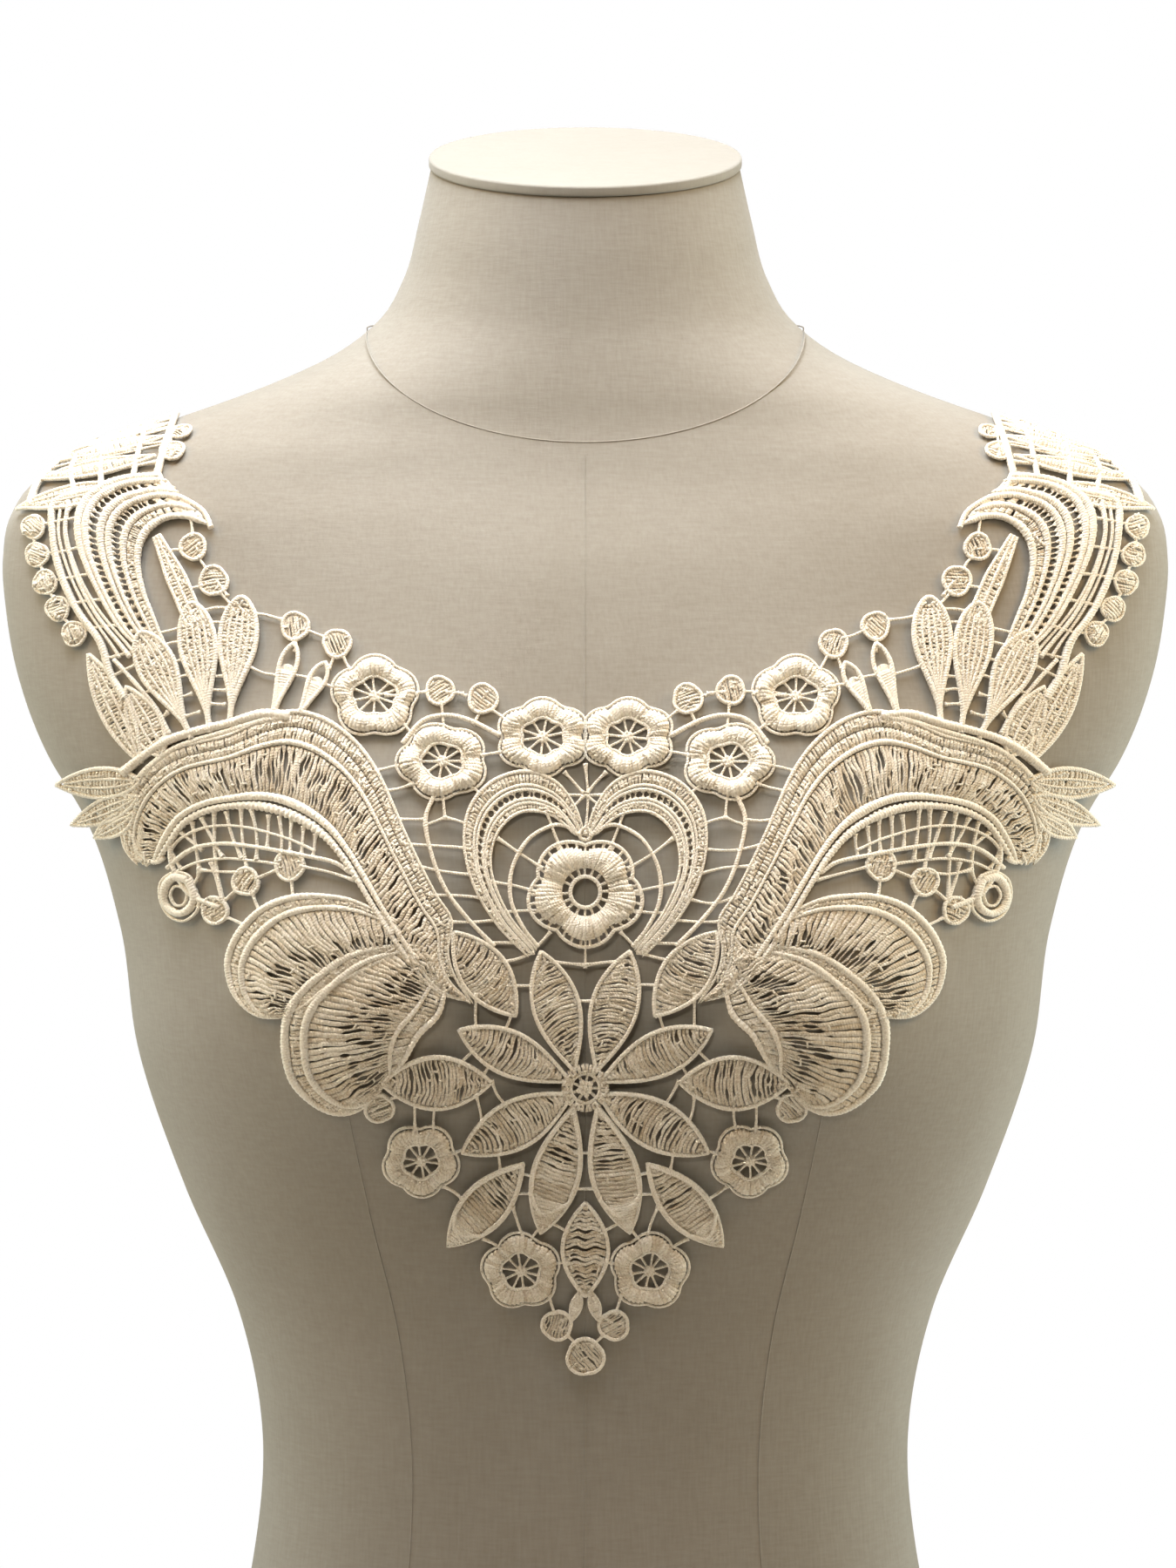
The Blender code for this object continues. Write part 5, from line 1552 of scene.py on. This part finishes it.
class Shading:
    """Node helpers that each finish builds its material with."""

    def __init__(self, name: str, roughness: float, sheen: float) -> None:
        """Start a material with a Principled shader.

        Args:
            name: the material's name.
            roughness: of its surface.
            sheen: strength of its fuzz.
        """
        self.material = bpy.data.materials.new(name)
        self.material.use_nodes = True
        self.tree = self.material.node_tree
        self.shader = self.tree.nodes["Principled BSDF"]
        self.shader.inputs["Roughness"].default_value = roughness
        self.shader.inputs["Specular IOR Level"].default_value = 0.3
        self.shader.inputs["Sheen Weight"].default_value = sheen
        self.shader.inputs["Sheen Roughness"].default_value = 0.45

    def node(self, kind: str, **values: object) -> bpy.types.Node:
        """Add a node.

        Args:
            kind: its type.
            values: its inputs and properties by name.

        Returns:
            The new node.
        """
        made = self.tree.nodes.new(kind)
        for key, value in values.items():
            if key in made.inputs:
                made.inputs[key].default_value = value
            else:
                setattr(made, key, value)
        return made

    def link(self, start: bpy.types.NodeSocket, end: bpy.types.NodeSocket) -> None:
        """Join two sockets."""
        self.tree.links.new(start, end)

    def maths(self, kind: str, first: object, second: object = 0.0) -> bpy.types.NodeSocket:
        """Work out one number from one or two others.

        Args:
            kind: the operation.
            first: a number or a socket that gives one.
            second: another, where the operation takes two.

        Returns:
            The socket that gives the answer.
        """
        made = self.node("ShaderNodeMath", operation=kind)
        for socket, value in zip(made.inputs, (first, second)):
            if isinstance(value, bpy.types.NodeSocket):
                self.link(value, socket)
            else:
                socket.default_value = value
        return made.outputs[0]

    def noise(self, scale: float, detail: float = 3.0, stretch: tuple[float, float, float] = (1, 1, 1)
              ) -> bpy.types.NodeSocket:
        """Noise over the object.

        Args:
            scale: how fine it is.
            detail: how many finer layers it has.
            stretch: scale of each axis.

        Returns:
            The socket that gives it.
        """
        place = self.node("ShaderNodeTexCoord")
        mapping = self.node("ShaderNodeMapping")
        mapping.inputs["Scale"].default_value = stretch
        texture = self.node("ShaderNodeTexNoise", Scale=scale, Detail=detail)
        self.link(place.outputs["Object"], mapping.inputs["Vector"])
        self.link(mapping.outputs["Vector"], texture.inputs["Vector"])
        return texture.outputs["Fac"]

    def ramp(self, value: bpy.types.NodeSocket, dark: tuple[float, ...], light: tuple[float, ...],
             low: float = 0.0, high: float = 1.0) -> bpy.types.NodeSocket:
        """Colour between two others, by a number.

        Args:
            value: the socket that gives the number.
            dark: colour at the low end.
            light: colour at the high end.
            low: number at the low end.
            high: number at the high end.

        Returns:
            The socket that gives the colour.
        """
        made = self.node("ShaderNodeValToRGB")
        made.color_ramp.elements[0].position = low
        made.color_ramp.elements[0].color = (*dark, 1.0)
        made.color_ramp.elements[1].position = high
        made.color_ramp.elements[1].color = (*light, 1.0)
        self.link(value, made.inputs["Fac"])
        return made.outputs["Color"]

    def bump(self, height: bpy.types.NodeSocket, depth: float, strength: float = 1.0) -> None:
        """Raise the surface.

        Args:
            height: the socket that gives the height.
            depth: distance that a height of one stands for, in metres.
            strength: share of the effect.
        """
        made = self.node("ShaderNodeBump", Strength=strength, Distance=depth)
        self.link(height, made.inputs["Height"])
        self.link(made.outputs["Normal"], self.shader.inputs["Normal"])


@dataclass(frozen=True)
class ThreadFinish:
    """Ecru thread, laid stitch by stitch."""

    dark: tuple[float, float, float] = (0.62, 0.51, 0.37)
    light: tuple[float, float, float] = (0.99, 0.93, 0.82)
    stitch_pitch: float = 0.9
    fluff_scale: float = 1300.0
    cloud_scale: float = 110.0
    roughness: float = 0.72
    sheen: float = 0.25
    lean: float = 2.2
    cloud_share: float = 0.5
    ridge_share: float = 0.06
    tone_drop: float = 0.75
    tone_low: float = 0.15
    tone_high: float = 0.95
    ridge_rise: float = 0.35
    fluff_rise: float = 2.0
    bump_depth: float = 0.00022
    bump_strength: float = 0.8

    def material(self) -> bpy.types.Material:
        """Build the material.

        Returns:
            The thread's material.
        """
        shading = Shading("ecru_thread", self.roughness, self.sheen)
        stitch = shading.node("ShaderNodeAttribute", attribute_name="stitch")
        parts = shading.node("ShaderNodeSeparateXYZ")
        shading.link(stitch.outputs["Vector"], parts.inputs[0])
        turn = shading.maths("MULTIPLY", parts.outputs["X"], 2 * math.pi / self.stitch_pitch)
        lean = shading.maths("MULTIPLY", parts.outputs["Y"], self.lean)
        ridge = shading.maths("SINE", shading.maths("ADD", turn, lean))
        fluff = shading.noise(self.fluff_scale)
        cloud = shading.noise(self.cloud_scale)
        tone = shading.maths("ADD", parts.outputs["Z"], shading.maths("MULTIPLY", cloud, self.cloud_share))
        tone = shading.maths("ADD", tone, fluff)
        tone = shading.maths("ADD", tone, shading.maths("MULTIPLY", ridge, self.ridge_share))
        tone = shading.maths("SUBTRACT", tone, self.tone_drop)
        colour = shading.ramp(tone, self.dark, self.light, self.tone_low, self.tone_high)
        shading.link(colour, shading.shader.inputs["Base Color"])
        height = shading.maths("ADD", shading.maths("MULTIPLY", ridge, self.ridge_rise),
                               shading.maths("MULTIPLY", fluff, self.fluff_rise))
        shading.bump(height, self.bump_depth, self.bump_strength)
        return shading.material


@dataclass(frozen=True)
class LinenFinish:
    """Linen stretched over the dress form."""

    name: str
    dark: tuple[float, float, float]
    light: tuple[float, float, float]
    roughness: float = 0.88
    sheen: float = 0.2
    yarn_scale: float = 900.0
    weft_stretch: tuple[float, float, float] = (0.18, 0.18, 1.0)
    warp_stretch: tuple[float, float, float] = (1.0, 1.0, 0.12)
    cloud_scale: float = 9.0
    yarn_share: float = 0.25
    cloud_share: float = 0.5
    tone_low: float = 0.3
    tone_high: float = 0.7
    bump_depth: float = 0.00012
    bump_strength: float = 0.5

    def material(self) -> bpy.types.Material:
        """Build the material.

        Returns:
            The linen's material.
        """
        shading = Shading(self.name, self.roughness, self.sheen)
        weft = shading.noise(self.yarn_scale, 2.0, self.weft_stretch)
        warp = shading.noise(self.yarn_scale, 2.0, self.warp_stretch)
        cloud = shading.noise(self.cloud_scale, 4.0)
        yarn = shading.maths("ADD", weft, warp)
        tone = shading.maths("ADD", shading.maths("MULTIPLY", yarn, self.yarn_share),
                             shading.maths("MULTIPLY", cloud, self.cloud_share))
        colour = shading.ramp(tone, self.dark, self.light, self.tone_low, self.tone_high)
        shading.link(colour, shading.shader.inputs["Base Color"])
        shading.bump(yarn, self.bump_depth, self.bump_strength)
        return shading.material


@dataclass(frozen=True)
class LaceGroup:
    """One group of motifs: the sheet that replaces a node, and the cords that edge it."""

    node: str
    group: Group
    side: Side
    width_mm: float
    length_mm: float
    net_area_mm2: float
    seed: int

    def motifs(self) -> Iterable[tuple[Motif, Side]]:
        """Every motif of the group.

        Returns:
            Each motif with the half that it's worked in.
        """
        sides = (Side.LEFT, Side.RIGHT) if self.group is Group.CENTRE else (self.side,)
        for motif in (*BANDS, *LEAVES, *FLOWERS, *PICOTS, *CORDS, *BARS):
            if group_at(*middle_of(motif)) is not self.group:
                continue
            single = isinstance(motif, Bar) and motif.crosses
            for side in sides[-1:] if single else sides:
                yield motif, side
        if self.group is Group.CENTRE:
            for motif in (POINT_LEAF, HEART_FLOWER, TIP_PICOT, HUB, CLEFT_KNOT):
                yield motif, Side.RIGHT

    def build(self, drape: Drape, finish: bpy.types.Material) -> list[bpy.types.Object]:
        """Work the group's motifs and lay them over the form.

        Args:
            drape: what lays the chart over the form.
            finish: the thread's material.

        Returns:
            The sheet of pads and fillings, and its cords.
        """
        body, edging = ThreadWork(self.seed), ThreadWork(self.seed + 50)
        for motif, side in self.motifs():
            motif.stitch(body, edging, side)
        sheet = body.build(f"{self.node}_fillings", drape, finish)
        cords = edging.build(f"{self.node}_cords", drape, finish)
        for piece in (sheet, cords):
            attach(piece, "root")
        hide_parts(self.node)
        return [sheet, cords]


LACE_GROUPS = (
    LaceGroup("lace_centre", Group.CENTRE, Side.RIGHT, 177.3, 247.6, 15456.0, 11),
    LaceGroup("lace_scroll_left", Group.SCROLL, Side.LEFT, 145.6, 166.6, 8486.0, 21),
    LaceGroup("lace_scroll_right", Group.SCROLL, Side.RIGHT, 145.6, 166.6, 8486.0, 22),
    LaceGroup("lace_wing_left", Group.WING, Side.LEFT, 88.6, 180.1, 5003.0, 31),
    LaceGroup("lace_wing_right", Group.WING, Side.RIGHT, 88.6, 180.1, 5003.0, 32),
)


@dataclass(frozen=True)
class DressForm:
    """The limbless dress form: torso with neck, tilted cap, and seams."""

    shape: FormShape
    shift: Vector
    segments: int = 176
    ring_step: float = 3.0
    cap_gap: float = 0.35
    cap_thickness: float = 4.0
    cap_overhang: float = 0.8
    cap_rounding: float = 0.9
    cap_edge_rings: int = 7
    seam_radius: float = 0.25
    seam_sides: int = 6
    seam_low: float = 12.0
    seam_step: float = 3.0
    front_seam_top: float = 529.0
    back_seam_top: float = 574.0
    side_seam_top: float = 330.0
    side_seam_front: float = 0.52
    side_seam_back: float = 0.50
    neck_seam_reach: float = 75.0
    neck_seam_front: float = 532.5
    neck_seam_rise: float = 39.0
    neck_seam_back_rise: float = 0.1
    neck_seam_turn_degrees: float = 86.0
    neck_seam_points: int = 61
    shoulder_points: int = 12

    def build(self, linen: bpy.types.Material, cap_linen: bpy.types.Material) -> list[bpy.types.Object]:
        """Build and dress the form.

        Args:
            linen: finish of the torso.
            cap_linen: finish of the cap.

        Returns:
            The torso, the cap and the seams.
        """
        pieces = [self.torso(linen), self.cap(cap_linen), self.seams(linen)]
        for piece, slot in zip(pieces, ("form_linen", "cap_linen", "form_linen")):
            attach(piece, "root")
        return pieces

    def loft(self, name: str, rings: Points, finish: bpy.types.Material) -> bpy.types.Object:
        """Close a run of rings into one solid shell.

        Args:
            name: the object's name.
            rings: points in millimetres, a row for each ring.
            finish: its material.

        Returns:
            The new object.
        """
        count, around = rings.shape[:2]
        index = np.arange(count * around).reshape(count, around)
        caps = []
        for ring, order in ((index[0], -1), (index[-1], 1)):
            half = around // 2
            for k in range(half - 1):
                quad = (ring[k], ring[k + 1], ring[around - 2 - k], ring[around - 1 - k])
                caps.append(quad[::order])
        points = rings.reshape(-1, 3) * MM + np.array(self.shift)
        return mesh_object(name, points, np.vstack((skin(index), np.array(caps))), finish)

    def torso(self, finish: bpy.types.Material) -> bpy.types.Object:
        """The torso with its neck.

        Args:
            finish: its material.

        Returns:
            The new object.
        """
        heights = np.concatenate(([0.0, 0.6, 2.0, 5.0], np.arange(8.0, self.shape.neck_top, self.ring_step),
                                  [self.shape.neck_top]))
        rings = self.shape.rings(heights, self.segments)
        piece = self.loft("form_torso_linen", rings, finish)
        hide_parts("form_torso")
        return piece

    def cap(self, finish: bpy.types.Material) -> bpy.types.Object:
        """The tilted disc on the neck, with rounded edges.

        Args:
            finish: its material.

        Returns:
            The new object.
        """
        top = self.shape.rings(np.array((self.shape.neck_top,)), self.segments)[0]
        tilt = math.radians(self.shape.tilt_degrees)
        up = np.array((0.0, -math.sin(tilt), math.cos(tilt)))
        middle = top.mean(axis=0)
        radius = self.shape.sections[-1].half_width
        quarter = np.linspace(0, math.pi / 2, self.cap_edge_rings)
        tucks = 1 - np.concatenate((np.sin(quarter), np.cos(quarter)))
        growths = (self.cap_overhang - self.cap_rounding * tucks) / radius
        lifts = np.concatenate((self.cap_gap + self.cap_rounding * (1 - np.cos(quarter)),
                                self.cap_thickness - self.cap_rounding * (1 - np.sin(quarter))))
        rings = [middle + (top - middle) * (1 + growth) + up * lift for growth, lift in zip(growths, lifts)]
        piece = self.loft("neck_cap_linen", np.array(rings), finish)
        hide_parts("neck_cap")
        return piece

    def seams(self, finish: bpy.types.Material) -> bpy.types.Object:
        """Raised seams: down the middle, one down each half, and round the neck.

        Args:
            finish: their material.

        Returns:
            The seams as one object.
        """
        points, quads, total = [], [], 0
        for line in (*self.long_seams(), *self.neck_seam()):
            index = np.arange(len(line) * self.seam_sides).reshape(len(line), self.seam_sides) + total
            points.append(self.tube(line).reshape(-1, 3))
            quads.append(skin(index))
            total += index.size
        places = np.vstack(points) * MM + np.array(self.shift)
        return mesh_object("form_seams", places, np.vstack(quads), finish)

    def long_seams(self) -> list[Points]:
        """Seams down the middle and down each half.

        Returns:
            The points of each, in millimetres.
        """
        front = np.arange(self.seam_low, self.front_seam_top, self.seam_step)
        back = np.arange(self.seam_low, self.back_seam_top, self.seam_step)
        side = np.arange(self.seam_low, self.side_seam_top, self.seam_step)
        lines = [self.on_front(np.zeros_like(front), front), self.on_back(np.zeros_like(back), back)]
        for sign in (-1.0, 1.0):
            half_width = sign * self.shape.column("half_width", side)
            lines.append(self.on_front(self.side_seam_front * half_width, side))
            lines.append(self.on_back(self.side_seam_back * half_width, side))
        return lines

    def neck_seam(self) -> list[Points]:
        """Seam round the neck: its front, its back, and the joins over the shoulders.

        Returns:
            The points of each, in millimetres.
        """
        turn = np.linspace(-1, 1, self.neck_seam_points) * math.radians(self.neck_seam_turn_degrees)
        across = self.neck_seam_reach * np.sin(turn)
        rise = self.neck_seam_rise * (1 - np.cos(turn))
        back_rise = self.neck_seam_rise * (1 + self.neck_seam_back_rise * np.cos(turn))
        front = self.on_front(across, self.neck_seam_front + rise)
        back = self.on_back(across, self.neck_seam_front + back_rise)
        ridge = self.shape.ridge(across[-1])
        up = np.linspace(front[-1, 2], ridge, self.shoulder_points)
        down = np.linspace(ridge, back[-1, 2], self.shoulder_points)
        lines = [front, back]
        for sign in (-1.0, 1.0):
            reach = np.full(self.shoulder_points, sign * across[-1])
            lines.append(np.vstack((self.on_front(reach, up), self.on_back(reach, down)[1:])))
        return lines

    def on_front(self, across: Points, heights: Points) -> Points:
        """Points of the front at given places across and up."""
        return np.stack((across, self.shape.front(across, heights), heights), axis=1)

    def on_back(self, across: Points, heights: Points) -> Points:
        """Points of the back at given places across and up."""
        return np.stack((across, self.shape.back(across, heights), heights), axis=1)

    def tube(self, line: Points) -> Points:
        """Rings of a seam's thin tube.

        Args:
            line: the points that it follows.

        Returns:
            Points in millimetres, a row for each ring.
        """
        along = unit(np.gradient(line, axis=0))
        aside = unit(np.cross(along, np.array((0.3, 0.0, 1.0))))
        up = np.cross(aside, along)
        angles = 2 * math.pi * np.arange(self.seam_sides) / self.seam_sides
        ring = aside[:, None] * np.cos(angles)[:, None] + up[:, None] * np.sin(angles)[:, None]
        return line[:, None] + self.seam_radius * ring


@dataclass(frozen=True)
class Lamp:
    """A soft square light."""

    name: str
    place: tuple[float, float, float]
    size: float
    power: float
    colour: tuple[float, float, float]
    aim: tuple[float, float, float] = (0.0, 0.0, 0.44)
    spread_degrees: float = 180.0

    def build(self) -> None:
        """Hang the light."""
        data = bpy.data.lights.new(self.name, "AREA")
        data.size = self.size
        data.energy = self.power
        data.color = self.colour
        data.spread = math.radians(self.spread_degrees)
        lamp = bpy.data.objects.new(self.name, data)
        lamp.location = self.place
        lamp.rotation_euler = (Vector(self.aim) - lamp.location).to_track_quat("-Z", "Y").to_euler()
        lamp.visible_camera = False
        bpy.context.scene.collection.objects.link(lamp)


@dataclass(frozen=True)
class Studio:
    """Camera, soft lights, pale floor and white surroundings."""

    target: tuple[float, float, float] = (0.0, 0.0, 0.415)
    distance: float = 2.2
    elevation_degrees: float = 3.0
    lens: float = 146.7
    shift_across: float = 0.0017
    lamps: tuple[Lamp, ...] = (
        Lamp("key", (-0.10, -0.17, 1.25), 0.7, 15.5, (0.93, 0.965, 1.0)),
        Lamp("front", (-0.20, -1.40, 0.95), 0.3, 0.09, (1.0, 0.92, 0.76), (0.0, -0.10, 0.455), 14.0),
        Lamp("left_glow", (-0.65, -0.25, 0.85), 0.4, 2.3, (1.0, 0.66, 0.28)),
        Lamp("right_glow", (0.65, -0.25, 0.85), 0.4, 3.0, (1.0, 0.68, 0.32)),
        Lamp("left_edge", (-0.80, 0.20, 0.45), 0.6, 3.8, (0.85, 1.0, 0.97)),
        Lamp("right_edge", (0.80, 0.20, 0.45), 0.6, 5.4, (0.85, 1.0, 0.99)),
    )
    sensor_width: float = 36.0
    floor_radius: float = 0.72
    floor_middle: float = 0.01
    floor_drop: float = 0.0005
    floor_segments: int = 96
    floor_dark: tuple[float, float, float] = (0.68, 0.62, 0.54)
    floor_light: tuple[float, float, float] = (0.73, 0.67, 0.59)
    haze: tuple[float, float, float] = (1.0, 0.80, 0.58)
    haze_strength: float = 0.012

    def build(self) -> None:
        """Set up the camera, lights, floor and surroundings."""
        self.camera()
        for lamp in self.lamps:
            lamp.build()
        self.floor()
        self.surroundings()
        bpy.context.scene.view_settings.view_transform = "Standard"

    def camera(self) -> None:
        """The camera at the photograph's angle."""
        data = bpy.data.cameras.new("camera")
        data.lens = self.lens
        data.sensor_width = self.sensor_width
        data.shift_x = self.shift_across
        camera = bpy.data.objects.new("camera", data)
        angle = math.radians(self.elevation_degrees)
        away = Vector((0.0, -math.cos(angle), math.sin(angle)))
        camera.location = Vector(self.target) + away * self.distance
        camera.rotation_euler = (-away).to_track_quat("-Z", "Y").to_euler()
        bpy.context.scene.collection.objects.link(camera)
        bpy.context.scene.camera = camera

    def floor(self) -> None:
        """A pale round floor under the form."""
        shading = Shading("floor", 0.9, 0.0)
        colour = shading.ramp(shading.noise(3.0), self.floor_dark, self.floor_light)
        shading.link(colour, shading.shader.inputs["Base Color"])
        around = self.floor_segments
        angles = 2 * math.pi * np.arange(around) / around
        ring = np.stack((np.cos(angles), np.sin(angles), np.zeros(around)), axis=1)
        points = np.vstack([ring * radius for radius in (self.floor_middle, self.floor_radius)])
        points[:, 2] = -self.floor_drop
        index = np.arange(around)
        after = np.roll(index, -1)
        quads = np.stack((index, index + around, after + around, after), axis=1)
        mesh_object("floor", points, quads, shading.material)

    def surroundings(self) -> None:
        """White to look at, with a dim warm light of its own."""
        world = bpy.data.worlds.new("studio")
        world.use_nodes = True
        nodes, links = world.node_tree.nodes, world.node_tree.links
        seen = nodes["Background"]
        seen.inputs["Color"].default_value = (1.0, 1.0, 1.0, 1.0)
        haze = nodes.new("ShaderNodeBackground")
        haze.inputs["Color"].default_value = (*self.haze, 1.0)
        haze.inputs["Strength"].default_value = self.haze_strength
        rays = nodes.new("ShaderNodeLightPath")
        choice = nodes.new("ShaderNodeMixShader")
        links.new(rays.outputs["Is Camera Ray"], choice.inputs["Fac"])
        links.new(haze.outputs[0], choice.inputs[1])
        links.new(seen.outputs[0], choice.inputs[2])
        links.new(choice.outputs[0], nodes["World Output"].inputs["Surface"])
        bpy.context.scene.world = world


def report(pieces: Iterable[bpy.types.Object]) -> None:
    """Log what each piece holds."""
    for piece in pieces:
        LOG.info("%s: %d faces", piece.name, len(piece.data.polygons))


def main() -> None:
    """Build the form, the lace and the studio, in order."""
    logging.basicConfig(level=logging.INFO, format="%(message)s")
    shape = FormShape()
    deepest = max(section.back for section in shape.sections)
    shift = Vector((0.0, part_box("form_torso")[1].y - deepest * MM, 0.0))
    linen = LinenFinish("form_linen", dark=(0.290, 0.262, 0.220), light=(0.384, 0.360, 0.322))
    cap_linen = LinenFinish("cap_linen", dark=(0.320, 0.302, 0.266), light=(0.382, 0.364, 0.328))
    report(DressForm(shape, shift).build(linen.material(), cap_linen.material()))
    drape = Drape(shape, shift)
    thread = ThreadFinish().material()
    for group in LACE_GROUPS:
        report(group.build(drape, thread))
    Studio().build()


if __name__ == "__main__":
    main()
